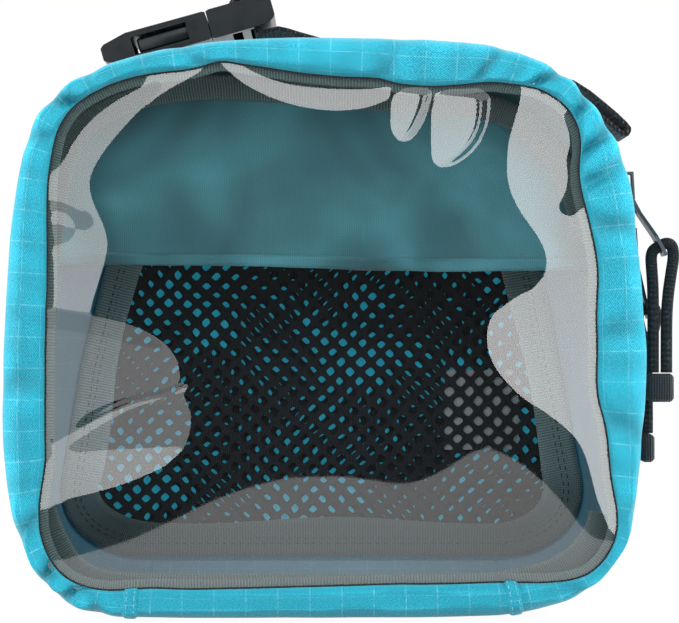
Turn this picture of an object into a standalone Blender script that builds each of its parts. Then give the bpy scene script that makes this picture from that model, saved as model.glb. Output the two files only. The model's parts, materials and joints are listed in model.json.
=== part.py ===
"""A soft packing cube with a clear front, standing on its bottom panel.

X runs to the right seen from the front, Y from the front to the back and Z up. The origin is
on the underside of the bottom panel, half way back. "Depth" below is measured from the crest
of the front border, "inset" inwards from the outline that the cube shows from the front.
"""
import math

import bmesh
import bpy
from mathutils import Matrix, Vector

MM = 0.001

# Overall sizes
WIDTH = 200 * MM        # widest, low on the sides
HEIGHT = 181 * MM
DEPTH = 90 * MM
BACK_WIDTH = WIDTH - 10 * MM    # back panel at its foot
BACK_HEIGHT = HEIGHT - 10 * MM
BACK_LIFT = 8.5 * MM    # the floor rises this much to the back seam
FLAT_FLOOR = 0.72       # share of the depth over which the floor lies flat
WAIST = 98 * MM         # height at which the left side bends inwards
CLEAR = 0.3 * MM        # between pieces that touch

# Outline corners
FOOT_RADIUS = 42 * MM
RIGHT_SHOULDER_RADIUS = 41 * MM
LEFT_SHOULDER_RADIUS = 30 * MM
CROWN_RADIUS = 150 * MM
BACK_FOOT_RADIUS = 32 * MM
BACK_SHOULDER_RADIUS = 22 * MM
ARC_STEPS = 7           # faces round each corner
SIDE_STEPS = 3          # faces along each side

# Fabric, film and tapes
BORDER_WIDTH = 13 * MM      # from the outline in to the window seam
BORDER_DEPTH = 19.5 * MM    # from the crest back to the zip
BORDER_WALL = 2.0 * MM
WALL = 1.6 * MM             # side band and bottom panel
FILM = 0.5 * MM
FILM_DEPTH = 5.2 * MM
BINDING_WIDTH = 10 * MM     # grosgrain tape
BINDING = 1.2 * MM
PANEL = 1.6 * MM            # back panel
NET = 0.6 * MM              # mesh
FLAP = 0.8 * MM
FLAP_DEPTH = 34 * MM
FLAP_TOP = HEIGHT - 21.3 * MM
FLAP_BOTTOM = FLAP_TOP - 49.2 * MM
FLAP_INSET = 6.5 * MM

# Zip
ZIP_DEPTH = 27 * MM         # middle of the chain
CHAIN_GAP = 1.6 * MM
COIL_WIDTH = 1.9 * MM
COIL = 2.2 * MM
COIL_INSET = 2.0 * MM
TAPE_WIDTH = 5.0 * MM
TAPE = 0.8 * MM
TAPE_INSET = 2.7 * MM
SLIDER_LENGTH = 10 * MM
SLIDER_WIDTH = 8.6 * MM
SLIDER_PLATE = 1.3 * MM
SLIDER_PLAY = 0.8 * MM
POST = 1.0 * MM
BAIL_WIDTH = 2.0 * MM
BAIL = 1.0 * MM
BAIL_ROOM = 2.3 * MM        # under the bail, where the puller's bar turns
UPPER_SLIDER_Z = HEIGHT - 45 * MM
LOWER_SLIDER_Z = UPPER_SLIDER_Z - 18 * MM
PULLER_LENGTH = 23 * MM
PULLER = 1.1 * MM
PULLER_SLOT = (6.6 * MM, 3.6 * MM)
PULLER_RIM = 1.0 * MM
CORD = 3.2 * MM
CORD_HOLE = 4.8 * MM
CORD_END = 9 * MM

# Buckle and webbing
BUCKLE_TILT = math.radians(15.8)
BUCKLE_START = (28.8 * MM - WIDTH / 2, HEIGHT - 2.8 * MM)    # middle of the female end
BUCKLE_DEPTH = 45 * MM
BUCKLE_WIDTH = 27 * MM
BUCKLE_HEIGHT = 9.6 * MM
FEMALE_LENGTH = 35.5 * MM
MALE_LENGTH = 19.7 * MM
BUCKLE_WALL = 2.0 * MM
WINDOW_FROM = 10.2 * MM     # finger windows in the female's sides
WINDOW_LENGTH = 18.4 * MM
PRONG_LENGTH = 24 * MM
PRONG = 3.0 * MM
WEBBING = 1.4 * MM
WEBBING_WIDTH = 20 * MM


# ---- Outlines -----------------------------------------------------------------------------
def rounded_outline(corners):
    """Points round a polygon, each with its outward normal. A corner is (x, z, radius)."""
    points = []
    count = len(corners)
    for k, (x, z, radius) in enumerate(corners):
        here = Vector((x, z))
        before = here - Vector(corners[k - 1][:2])
        after = Vector(corners[(k + 1) % count][:2]) - here
        start = math.atan2(before.y, before.x) - math.pi / 2
        turn = before.angle(after)
        reach = radius * math.tan(turn / 2)
        first = here - before.normalized() * reach
        centre = first - Vector((math.cos(start), math.sin(start))) * radius
        for step in range(ARC_STEPS + 1):
            angle = start + turn * step / ARC_STEPS
            normal = Vector((math.cos(angle), math.sin(angle)))
            points.append((centre + normal * radius, normal))
        following = corners[(k + 1) % count]
        beyond = Vector(corners[(k + 2) % count][:2]) - Vector(following[:2])
        last = Vector(following[:2]) - after.normalized() * (
            following[2] * math.tan(after.angle(beyond) / 2))
        begin = points[-1][0]
        for step in range(1, SIDE_STEPS):
            points.append((begin.lerp(last, step / SIDE_STEPS), normal))
    return points


def inset_ring(outline, inset):
    return [point - normal * inset for point, normal in outline]


HALF = WIDTH / 2
FRONT_CORNERS = (
    (-HALF - 4.1 * MM, 0, FOOT_RADIUS),
    (HALF + 4.1 * MM, 0, FOOT_RADIUS),
    (HALF - 6 * MM, HEIGHT - 10.7 * MM, RIGHT_SHOULDER_RADIUS),
    (24 * MM, HEIGHT, CROWN_RADIUS),
    (-28 * MM, HEIGHT - 0.8 * MM, CROWN_RADIUS),
    (-HALF + 15.9 * MM, HEIGHT - 12.6 * MM, LEFT_SHOULDER_RADIUS),
    (-HALF + 1.6 * MM, WAIST, CROWN_RADIUS),
)
BACK_HALF = BACK_WIDTH / 2
BACK_CORNERS = (
    (-BACK_HALF - 4 * MM, 0, BACK_FOOT_RADIUS),
    (BACK_HALF + 4 * MM, 0, BACK_FOOT_RADIUS),
    (BACK_HALF - 28 * MM, BACK_HEIGHT - 3 * MM, BACK_SHOULDER_RADIUS),
    (20 * MM, BACK_HEIGHT, CROWN_RADIUS),
    (-20 * MM, BACK_HEIGHT, CROWN_RADIUS),
    (-BACK_HALF + 31 * MM, BACK_HEIGHT - 5 * MM, BACK_SHOULDER_RADIUS),
    (-BACK_HALF + 9 * MM, WAIST - 20 * MM, CROWN_RADIUS),
)
FRONT = rounded_outline(FRONT_CORNERS)
BACK = rounded_outline(BACK_CORNERS)
COUNT = len(FRONT)
SEAM_LEFT = ARC_STEPS                       # end of the left foot's arc
SEAM_RIGHT = ARC_STEPS + SIDE_STEPS         # start of the right foot's arc
ZIP_RUN = [k % COUNT for k in range(SEAM_RIGHT, SEAM_LEFT + COUNT + 1)]
HINGE_RUN = list(range(SEAM_LEFT, SEAM_RIGHT + 1))
SEAM_X = FRONT[SEAM_RIGHT][0].x

GUSSET_DEPTH = ZIP_DEPTH + CHAIN_GAP / 2 + COIL_WIDTH + 4.8 * MM    # the side band's front edge
GUSSET_INSET = 0.6 * MM
BACK_DEPTH = DEPTH - PANEL - CLEAR          # back edge of the side band
FLAT_DEPTH = FLAT_FLOOR * DEPTH


def at(x, depth, z):
    return Vector((x, depth - DEPTH / 2, z))


def wall_point(index, depth, inset=0.0):
    """A point on the outside of the side band or the floor, or inset into the cube from it."""
    share = min(max((depth - GUSSET_DEPTH) / (BACK_DEPTH - GUSSET_DEPTH), 0.0), 1.0)
    front, normal = FRONT[index]
    back, back_normal = BACK[index]
    point = (front - normal * GUSSET_INSET * (1 if normal.y > -0.99 else 0)).lerp(back, share)
    point = point - normal.lerp(back_normal, share).normalized() * inset
    rise = min(max((depth - FLAT_DEPTH) / (BACK_DEPTH - FLAT_DEPTH), 0.0), 1.0) ** 1.5
    lift = BACK_LIFT * rise * max(0.0, 1 - point.y / (60 * MM)) ** 2
    return point.x, point.y + lift


# ---- Building helpers ---------------------------------------------------------------------
for old in list(bpy.data.objects):
    bpy.data.objects.remove(old, do_unlink=True)


def material(name, colour, roughness, metallic=0.0, alpha=1.0):
    made = bpy.data.materials.new(name)
    made.use_nodes = True
    shader = made.node_tree.nodes["Principled BSDF"]
    shader.inputs["Base Color"].default_value = (*colour, 1)
    shader.inputs["Roughness"].default_value = roughness
    shader.inputs["Metallic"].default_value = metallic
    shader.inputs["Alpha"].default_value = alpha
    return made


RIPSTOP = (0.02, 0.45, 0.63)
BLACK = (0.012, 0.018, 0.022)
GROSGRAIN = (0.16, 0.20, 0.19)


def add_object(name, data, colour, roughness=0.8, metallic=0.0, alpha=1.0, parent=None):
    made = bpy.data.objects.new(name, data)
    bpy.context.scene.collection.objects.link(made)
    data.materials.append(material(name, colour, roughness, metallic, alpha))
    made.parent = parent
    return made


def finish_mesh(bm, name, smooth=True):
    mesh = bpy.data.meshes.new(name)
    bm.to_mesh(mesh)
    bm.free()
    if smooth:
        mesh.shade_smooth()
        mesh.set_sharp_from_angle(angle=math.radians(40))
    return mesh


def thicken(made, thickness):
    """Gives a sheet its thickness, away from the side that its faces look to."""
    solid = made.modifiers.new("thickness", "SOLIDIFY")
    solid.thickness = thickness
    solid.offset = -1
    solid.use_even_offset = True
    return made


def band(name, rings, closed, thickness, colour, **look):
    """A sheet through rings of points, thickened towards the middle of the cube."""
    bm = bmesh.new()
    loops = []
    for ring in rings:
        verts = [bm.verts.new(point) for point in ring]
        ends = zip(verts, verts[1:] + verts[:1] if closed else verts[1:])
        loops.append([bm.edges.new(pair) for pair in ends])
    for one, two in zip(loops, loops[1:]):
        bmesh.ops.bridge_loops(bm, edges=one + two)
    bmesh.ops.recalc_face_normals(bm, faces=bm.faces)
    middle = Vector((0, 0, HEIGHT / 2))
    outward = sum(face.normal.dot(face.calc_center_median() - middle) * face.calc_area()
                  for face in bm.faces)
    if outward < 0:
        bmesh.ops.reverse_faces(bm, faces=bm.faces)
    return thicken(add_object(name, finish_mesh(bm, name), colour, **look), thickness)


def slab(name, outline, depth, thickness, colour, **look):
    """A flat upright sheet with this outline of (x, z), from depth to depth + thickness."""
    bm = bmesh.new()
    face = bm.faces.new([bm.verts.new(at(x, depth, z)) for x, z in outline])
    face.normal_update()
    if face.normal.y > 0:
        bmesh.ops.reverse_faces(bm, faces=[face])
    return thicken(add_object(name, finish_mesh(bm, name, smooth=False), colour, **look),
                   thickness)


def upright_ring(name, outer, inner, depth, thickness, colour, **look):
    """A flat upright ring between two outlines."""
    bm = bmesh.new()
    loops = []
    for outline in (outer, inner):
        verts = [bm.verts.new(at(x, depth, z)) for x, z in outline]
        loops += [bm.edges.new(pair) for pair in zip(verts, verts[1:] + verts[:1])]
    bmesh.ops.bridge_loops(bm, edges=loops)
    bmesh.ops.recalc_face_normals(bm, faces=bm.faces)
    if sum(face.normal.y for face in bm.faces) > 0:
        bmesh.ops.reverse_faces(bm, faces=bm.faces)
    return thicken(add_object(name, finish_mesh(bm, name, smooth=False), colour, **look),
                   thickness)


def block_mesh(bm, low, high):
    """Adds a box between two corners."""
    made = bmesh.ops.create_cube(bm, size=1)["verts"]
    size = [b - a for a, b in zip(low, high)]
    middle = [(a + b) / 2 for a, b in zip(low, high)]
    bmesh.ops.scale(bm, vec=size, verts=made)
    bmesh.ops.translate(bm, vec=middle, verts=made)
    return made


def block(name, low, high, colour, bevel=0.0, parent=None, **look):
    bm = bmesh.new()
    block_mesh(bm, low, high)
    made = add_object(name, finish_mesh(bm, name), colour, parent=parent, **look)
    if bevel:
        edge = made.modifiers.new("edges", "BEVEL")
        edge.width = bevel
        edge.segments = 2
    return made


def cutter(name, low, high, parent=None):
    bm = bmesh.new()
    block_mesh(bm, low, high)
    made = bpy.data.objects.new(name, finish_mesh(bm, name, smooth=False))
    bpy.context.scene.collection.objects.link(made)
    made.parent = parent
    made.hide_render = True
    made.display_type = "WIRE"
    return made


def combine(made, other, operation):
    change = made.modifiers.new(other.name, "BOOLEAN")
    change.object = other
    change.operation = operation


def frame(name, place, turn=0.0):
    """An empty at place, turned about Y."""
    made = bpy.data.objects.new(name, None)
    bpy.context.scene.collection.objects.link(made)
    made.matrix_world = Matrix.Translation(place) @ Matrix.Rotation(turn, 4, "Y")
    return made


# ---- Lid: window, border and its half of the zip --------------------------------------------
BORDER_PROFILE = (      # inset and depth, from the window seam over the crest to the zip
    (BORDER_WIDTH, 2.9 * MM),
    (9.6 * MM, 0.8 * MM),
    (6.0 * MM, 0.0),
    (2.6 * MM, 1.6 * MM),
    (0.4 * MM, 6.0 * MM),
    (0.0, 11.0 * MM),
    (0.3 * MM, BORDER_DEPTH),
)


def profile_ring(inset, depth, run):
    ring = inset_ring([FRONT[k] for k in run], inset)
    return [at(point.x, depth, point.y) for point in ring]


band("front_border", [profile_ring(inset, depth, ZIP_RUN) for inset, depth in BORDER_PROFILE],
     False, BORDER_WALL, RIPSTOP, roughness=0.7)


def short_of_seams(ring):
    """The same ring, ended a clearance short of the bottom seams."""
    share = 1 - 2 * CLEAR / SEAM_X
    return [Vector((point.x * share, point.y, point.z)) for point in ring]


HINGE_DEPTH = 8 * MM    # the lid's short strip of border ends here, and the floor starts
foot = [(inset, depth) for inset, depth in BORDER_PROFILE if depth < 0.6 * HINGE_DEPTH]
foot += [(0.0, HINGE_DEPTH - 1 * MM), (0.0, HINGE_DEPTH)]
band("border_bottom", [short_of_seams(profile_ring(inset, depth, HINGE_RUN))
                       for inset, depth in foot], False, BORDER_WALL, RIPSTOP, roughness=0.7)

slab("window_panel", inset_ring(FRONT, BORDER_WIDTH - 4 * MM), FILM_DEPTH, FILM,
     (0.75, 0.80, 0.80), roughness=0.08, alpha=0.3)
BINDING_DEPTH = FILM_DEPTH + FILM + CLEAR
upright_ring("window_binding", inset_ring(FRONT, BORDER_WIDTH + 3 * MM - BINDING_WIDTH),
             inset_ring(FRONT, BORDER_WIDTH + 3 * MM), BINDING_DEPTH, BINDING, GROSGRAIN)

LID_COIL = ZIP_DEPTH - CHAIN_GAP / 2
BASE_COIL = ZIP_DEPTH + CHAIN_GAP / 2


def zip_strip(name, start, end, inset, thickness, colour):
    band(name, [profile_ring(inset, depth, ZIP_RUN) for depth in (start, end)],
         False, thickness, colour)


ZIP_BLUE = (0.01, 0.22, 0.33)
zip_strip("lid_zip_tape", LID_COIL - COIL_WIDTH - CLEAR - TAPE_WIDTH,
          LID_COIL - COIL_WIDTH - CLEAR, TAPE_INSET, TAPE, ZIP_BLUE)
zip_strip("lid_zip_coil", LID_COIL - COIL_WIDTH, LID_COIL, COIL_INSET, COIL, ZIP_BLUE)

# ---- Base: side band, floor, back and the other half of the zip -------------------------------
zip_strip("base_zip_coil", BASE_COIL, BASE_COIL + COIL_WIDTH, COIL_INSET, COIL, ZIP_BLUE)
zip_strip("base_zip_tape", BASE_COIL + COIL_WIDTH + CLEAR,
          BASE_COIL + COIL_WIDTH + CLEAR + TAPE_WIDTH, TAPE_INSET, TAPE, ZIP_BLUE)


def wall_ring(run, depth, inset=0.0):
    ring = []
    for k in run:
        x, z = wall_point(k, depth, inset)
        ring.append(at(x, depth, z))
    return ring


def wall_outline(depth, inset):
    return [wall_point(k, depth, inset) for k in range(COUNT)]


GUSSET_RINGS = [GUSSET_DEPTH, 48 * MM, FLAT_DEPTH, 0.82 * DEPTH, 0.91 * DEPTH, BACK_DEPTH]
band("side_gusset", [wall_ring(ZIP_RUN, depth) for depth in GUSSET_RINGS],
     False, WALL, RIPSTOP, roughness=0.7)
FLOOR_RINGS = [HINGE_DEPTH + CLEAR] + GUSSET_RINGS
band("hinge_panel", [short_of_seams(wall_ring(HINGE_RUN, depth)) for depth in FLOOR_RINGS],
     False, WALL, RIPSTOP, roughness=0.7)

slab("back_panel", wall_outline(BACK_DEPTH, 0), BACK_DEPTH + CLEAR, PANEL, RIPSTOP)
INSIDE = WALL + 0.9 * MM        # clear of the side band's inner face
BACK_NET_DEPTH = BACK_DEPTH - 0.5 * MM - NET
slab("back_mesh", wall_outline(BACK_DEPTH, INSIDE), BACK_NET_DEPTH, NET, BLACK)
POCKET_DEPTH = BACK_NET_DEPTH - 2.2 * MM
slab("pocket_mesh", wall_outline(BACK_DEPTH, INSIDE), POCKET_DEPTH, NET, BLACK)
BACK_BINDING_DEPTH = POCKET_DEPTH - CLEAR - BINDING
upright_ring("back_binding", wall_outline(BACK_DEPTH, INSIDE),
             wall_outline(BACK_DEPTH, INSIDE + BINDING_WIDTH), BACK_BINDING_DEPTH, BINDING,
             GROSGRAIN)
LABEL = (26 * MM, 28 * MM)
LABEL_AT = (WIDTH / 2 - 44.5 * MM, 61.5 * MM)
LABEL_DEPTH = POCKET_DEPTH + NET + 0.5 * MM
block("blank_label", at(LABEL_AT[0] - LABEL[0] / 2, LABEL_DEPTH, LABEL_AT[1] - LABEL[1] / 2),
      at(LABEL_AT[0] + LABEL[0] / 2, LABEL_DEPTH + 0.8 * MM, LABEL_AT[1] + LABEL[1] / 2),
      (0.30, 0.30, 0.31))


# ---- Inner flap, hung from the top -----------------------------------------------------------
def between_heights(outline, low, high):
    """The part of an outline between two heights, cut straight across."""
    kept = []
    for one, two in zip(outline, outline[1:] + outline[:1]):
        for height in sorted((low, high), reverse=two[1] < one[1]):
            if (one[1] - height) * (two[1] - height) < 0:
                share = (height - one[1]) / (two[1] - one[1])
                kept.append((one[0] + (two[0] - one[0]) * share, height))
        if low <= two[1] <= high:
            kept.append(tuple(two))
    return kept


TEAL = (0.07, 0.17, 0.19)
HEADER_TOP = TAPE_INSET + TAPE + 0.4 * MM
slab("flap_header", between_heights([tuple(p) for p in inset_ring(FRONT, HEADER_TOP)],
                                    FLAP_TOP + CLEAR, HEIGHT), FLAP_DEPTH, FLAP, TEAL)
slab("retention_flap", between_heights([tuple(p) for p in inset_ring(FRONT, FLAP_INSET)],
                                       FLAP_BOTTOM, FLAP_TOP), FLAP_DEPTH, FLAP, TEAL)
slab("flap_hem", between_heights([tuple(p) for p in inset_ring(FRONT, FLAP_INSET)],
                                 FLAP_BOTTOM, FLAP_BOTTOM + 4 * MM),
     FLAP_DEPTH - CLEAR - FLAP, FLAP, TEAL)
slab("top_tape", between_heights([tuple(p) for p in inset_ring(FRONT, HEADER_TOP)],
                                 FLAP_TOP + CLEAR, FLAP_TOP + CLEAR + BINDING_WIDTH),
     FLAP_DEPTH - CLEAR - FLAP, FLAP, GROSGRAIN)

# ---- Zip sliders, pullers and pull cords -------------------------------------------------------
right_side = Vector(FRONT_CORNERS[2][:2]) - Vector(FRONT_CORNERS[1][:2])
SIDE_LEAN = math.atan2(-right_side.x, right_side.y)     # the right side leans in this much


def side_frame(name, z):
    """A frame on the right side's outline: its X points out of the side, its Z up along it."""
    x = FRONT_CORNERS[1][0] - z * math.tan(SIDE_LEAN)
    return frame(name, at(x, ZIP_DEPTH, z), -SIDE_LEAN)


METAL = (0.03, 0.05, 0.055)
PLATE_OUTER = -COIL_INSET + SLIDER_PLAY + SLIDER_PLATE      # outer face of the outer plate
PLATE_INNER = -COIL_INSET - COIL - SLIDER_PLAY - SLIDER_PLATE
BAIL_TOP = PLATE_OUTER + BAIL_ROOM + BAIL
PIVOT_X = PLATE_OUTER + BAIL_ROOM / 2
PIVOT_Z = -SLIDER_LENGTH / 2 + BAIL + 1.3 * MM


def slider(name, holder):
    """Two plates joined by a post between the chains, with a bail over the outer plate."""
    half_length, half_width = SLIDER_LENGTH / 2, SLIDER_WIDTH / 2
    body = block(name, (PLATE_OUTER - SLIDER_PLATE, -half_width, -half_length),
                 (PLATE_OUTER, half_width, half_length), METAL, parent=holder, roughness=0.35,
                 metallic=0.9)
    cover = cutter(name + "_inner", (PLATE_INNER, -half_width, -half_length),
                   (PLATE_INNER + SLIDER_PLATE, half_width, half_length), holder)
    post = cutter(name + "_post", (PLATE_INNER + SLIDER_PLATE / 2, -POST / 2, 0),
                  (PLATE_OUTER - SLIDER_PLATE / 2, POST / 2, half_length - 1 * MM), holder)
    bail = cutter(name + "_bail", (PLATE_OUTER - SLIDER_PLATE / 2, -BAIL_WIDTH / 2, -half_length),
                  (BAIL_TOP, BAIL_WIDTH / 2, half_length - 1 * MM), holder)
    room = cutter(name + "_room", (PLATE_OUTER, -BAIL_WIDTH, -half_length + BAIL),
                  (PLATE_OUTER + BAIL_ROOM, BAIL_WIDTH, half_length - 1 * MM - BAIL), holder)
    for shape, operation in ((cover, "UNION"), (post, "UNION"), (bail, "UNION"),
                             (room, "DIFFERENCE")):
        combine(body, shape, operation)
    return body


def puller(name, pivot, skew):
    """A flat bar with a slot round the bail and an eye for the cord. It hangs along -Z of its
    frame, and skew moves its lower end in Y."""
    slot_length, slot_width = PULLER_SLOT
    half_top = slot_width / 2 + PULLER_RIM
    half_eye = CORD_HOLE / 2 + PULLER_RIM
    top, slot_end = PULLER / 2, -slot_length - PULLER_RIM
    eye_z = eye_height()
    outline = [(-half_top, top), (half_top, top), (half_top, slot_end),
               (skew + half_eye, eye_z + half_eye), (skew + half_eye, eye_z - half_eye),
               (skew - half_eye, eye_z - half_eye), (skew - half_eye, eye_z + half_eye),
               (-half_top, slot_end)]
    bm = bmesh.new()
    bm.faces.new([bm.verts.new((-PULLER / 2, y, z)) for y, z in outline])
    made = add_object(name, finish_mesh(bm, name, smooth=False), METAL, roughness=0.35,
                      metallic=0.9, parent=pivot)
    bpy.context.view_layer.update()
    thicken(made, PULLER)
    slot = cutter(name + "_slot", (-PULLER, -slot_width / 2, -slot_length - PULLER / 2),
                  (PULLER, slot_width / 2, -PULLER / 2), pivot)
    combine(made, slot, "DIFFERENCE")
    bm = bmesh.new()
    turned = Matrix.Translation((0, skew, eye_z)) @ Matrix.Rotation(math.pi / 2, 4, "Y")
    bmesh.ops.create_cone(bm, cap_ends=True, segments=12, radius1=CORD_HOLE / 2,
                          radius2=CORD_HOLE / 2, depth=4 * PULLER, matrix=turned)
    hole = bpy.data.objects.new(name + "_hole", finish_mesh(bm, name + "_hole", smooth=False))
    bpy.context.scene.collection.objects.link(hole)
    hole.parent = pivot
    hole.hide_render = True
    hole.display_type = "WIRE"
    combine(made, hole, "DIFFERENCE")


def eye_height():
    return -PULLER_LENGTH + CORD_HOLE / 2 + PULLER_RIM


def cord_loop(name, route):
    """A round cord along a smooth curve through route."""
    data = bpy.data.curves.new(name, "CURVE")
    data.dimensions = "3D"
    data.bevel_depth = CORD / 2
    data.bevel_resolution = 2
    data.use_fill_caps = True
    points = smooth_route(route, 5)
    spline = data.splines.new("POLY")
    spline.points.add(len(points) - 1)
    for target, point in zip(spline.points, points):
        target.co = (*point, 1)
    add_object(name, data, BLACK, roughness=0.9)


def smooth_route(route, steps):
    """Points of a Catmull-Rom curve through route."""
    route = [Vector(point) for point in route]
    padded = [2 * route[0] - route[1], *route, 2 * route[-1] - route[-2]]
    points = []
    for a, b, c, d in zip(padded, padded[1:], padded[2:], padded[3:]):
        for step in range(steps):
            t = step / steps
            points.append(0.5 * (2 * b + (c - a) * t + (2 * a - 5 * b + 4 * c - d) * t ** 2
                                 + (3 * b - a - 3 * c + d) * t ** 3))
    return points + [route[-1]]


def cord_end(name, low, high):
    block(name, low, high, BLACK, bevel=1.2 * MM, roughness=0.6)


# Each tab hangs from its slider's bail. The upper one leans out over the lower one.
UPPER_TAB_LEAN = math.radians(28)
LOWER_TAB_LEAN = math.radians(16)
UPPER_SKEW = -6.0 * MM
LOWER_SKEW = 3.5 * MM
TABS = (("upper", UPPER_SLIDER_Z, UPPER_TAB_LEAN, UPPER_SKEW),
        ("lower", LOWER_SLIDER_Z, LOWER_TAB_LEAN, LOWER_SKEW))
EYES = {}
for which, height, lean, skew in TABS:
    holder = side_frame("slider_frame_" + which, height)
    slider("slider_" + which, holder)
    turned = holder.matrix_world @ Matrix.Translation((PIVOT_X, 0, PIVOT_Z))
    pivot = frame("pull_pivot_" + which, turned.translation, -lean)
    puller("puller_" + which, pivot, skew)
    EYES[which] = pivot.matrix_world @ Vector((0, skew, eye_height()))

# Each cord goes up on the inner side of its eye, through it square to the puller, and down on
# the outer side. The lower cord's strands then turn to lie side by side against the cube.
UPPER_ROUTE = (
    (-2.1, 0, -40), (-2.1, 0, -32), (-2.1, 0, -22), (-2.2, 0, -13), (-2.6, 0, -6.5),
    (-2.7, 0, -3.4), (-2.0, 0, -1.3), (0, 0, 0), (2.1, 0, 0.9), (3.8, 0, 0), (4.3, 0, -3.4),
    (3.6, 0, -8.5), (2.7, 0, -15), (2.2, 0, -22), (2.1, 0, -32), (2.1, 0, -40))
LOWER_ROUTE = (
    (0, -2.1, -40), (0, -2.1, -32), (-0.1, -2.1, -22), (-0.7, -1.9, -13), (-2.0, -1.2, -7),
    (-2.6, -0.4, -3.4), (-2.1, 0, -1.2), (0, 0, 0), (2.0, 0, 0.4), (3.1, 0.3, -1.2),
    (3.0, 1.0, -5.0), (1.9, 1.8, -10), (0.8, 2.1, -16), (0.3, 2.1, -24), (0.1, 2.1, -32),
    (0, 2.1, -40))
STRANDS = 2.1 * MM      # from the middle of the moulded end to each strand
END_HALF = 2.2 * MM
for which, route, sideways in (("upper", UPPER_ROUTE, True), ("lower", LOWER_ROUTE, False)):
    eye = EYES[which]
    cord_loop("pull_cord_" + which, [eye + Vector(point) * MM for point in route])
    foot_z = route[0][2] * MM - CLEAR
    across = STRANDS + END_HALF if sideways else END_HALF
    along = END_HALF if sideways else STRANDS + END_HALF
    cord_end("cord_end_" + which, eye + Vector((-across, -along, foot_z - CORD_END)),
             eye + Vector((across, along, foot_z)))

# ---- Buckle on its webbing --------------------------------------------------------------------
BUCKLE_BLACK = (0.012, 0.02, 0.026)
buckle = frame("buckle_frame", at(BUCKLE_START[0], BUCKLE_DEPTH, BUCKLE_START[1]), -BUCKLE_TILT)
half_w, half_h = BUCKLE_WIDTH / 2, BUCKLE_HEIGHT / 2
POCKET_FROM = 8 * MM
BAR_SLOT = (2.6 * MM, 5.4 * MM)
SLOT_HALF = WEBBING_WIDTH / 2 + 0.8 * MM

female = block("buckle_female", (0, -half_w, -half_h), (FEMALE_LENGTH, half_w, half_h),
               BUCKLE_BLACK, parent=buckle, roughness=0.3)
for name, low, high in (
        ("pocket", (POCKET_FROM, -half_w + BUCKLE_WALL, -half_h + BUCKLE_WALL),
         (FEMALE_LENGTH + 1 * MM, half_w - BUCKLE_WALL, half_h - BUCKLE_WALL)),
        ("windows", (WINDOW_FROM, -half_w - 1 * MM, -half_h + BUCKLE_WALL),
         (WINDOW_FROM + WINDOW_LENGTH, half_w + 1 * MM, half_h - BUCKLE_WALL)),
        ("bar_slot", (BAR_SLOT[0], -SLOT_HALF, -half_h - 1 * MM),
         (BAR_SLOT[1], SLOT_HALF, half_h + 1 * MM))):
    combine(female, cutter("female_" + name, low, high, buckle), "DIFFERENCE")

MALE_FROM = FEMALE_LENGTH + CLEAR
MALE_TO = MALE_FROM + 1.6 * MM + MALE_LENGTH
male = block("buckle_male", (MALE_FROM, -half_w, -half_h), (MALE_TO, half_w, half_h),
             BUCKLE_BLACK, parent=buckle, roughness=0.3)
PRONG_PLAY = 0.4 * MM
PRONG_HALF_H = half_h - BUCKLE_WALL - PRONG_PLAY
GUIDE_HALF = 2.5 * MM
guide = cutter("male_guide", (MALE_FROM - PRONG_LENGTH + 8 * MM, -GUIDE_HALF, -PRONG_HALF_H),
               (MALE_FROM + 1 * MM, GUIDE_HALF, PRONG_HALF_H), buckle)
combine(male, guide, "UNION")
LADDER = (MALE_FROM + 6.5 * MM, MALE_FROM + 12.5 * MM)      # fronts of the two webbing slots
LADDER_SLOT = 3.2 * MM
for number, start in enumerate(LADDER):
    slot = cutter("male_slot_%d" % number, (start, -SLOT_HALF, -half_h - 1 * MM),
                  (start + LADDER_SLOT, SLOT_HALF, half_h + 1 * MM), buckle)
    combine(male, slot, "DIFFERENCE")
PRONG_OUT = half_w - BUCKLE_WALL - PRONG_PLAY
for name, side in (("buckle_prong_near", -1), ("buckle_prong_far", 1)):
    edges = sorted((side * PRONG_OUT, side * (PRONG_OUT - PRONG)))
    block(name, (MALE_FROM - PRONG_LENGTH, edges[0], -PRONG_HALF_H),
          (MALE_FROM - CLEAR, edges[1], PRONG_HALF_H), BUCKLE_BLACK, bevel=0.6 * MM,
          parent=buckle, roughness=0.3)


def webbing(name, route, parent=None, centre=0.0):
    """A flat strap whose middle line is route, in x and z, WEBBING_WIDTH wide in Y."""
    bm = bmesh.new()
    half = WEBBING_WIDTH / 2
    points = smooth_route([(x, 0, z) for x, z in route], 2)
    verts = [bm.verts.new((point.x, centre - half, point.z)) for point in points]
    edges = [bm.edges.new(pair) for pair in zip(verts, verts[1:])]
    swept = bmesh.ops.extrude_edge_only(bm, edges=edges)["geom"]
    bmesh.ops.translate(bm, vec=(0, WEBBING_WIDTH, 0),
                        verts=[item for item in swept if isinstance(item, bmesh.types.BMVert)])
    made = add_object(name, finish_mesh(bm, name), BLACK, roughness=0.9, parent=parent)
    solid = made.modifiers.new("thickness", "SOLIDIFY")
    solid.thickness = WEBBING
    solid.offset = 0
    solid.use_even_offset = True


def on_top(x, depth):
    """Height of the cube's outside above x, at this depth."""
    best = 0.0
    ring = wall_ring(ZIP_RUN, depth)
    for one, two in zip(ring, ring[1:]):
        if (one.x - x) * (two.x - x) <= 0 and one.x != two.x:
            share = (x - one.x) / (two.x - one.x)
            best = max(best, one.z + (two.z - one.z) * share)
    return best


def lying(x, depth, lift=0.0):
    """A point of a strap that lies on the cube's top, where its front edge touches."""
    return x, on_top(x, depth - WEBBING_WIDTH / 2) + WEBBING / 2 + 1.5 * CLEAR + lift


def on_buckle(u, w):
    place = buckle.matrix_world @ Vector((u, 0, w))
    return place.x, place.z


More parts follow.
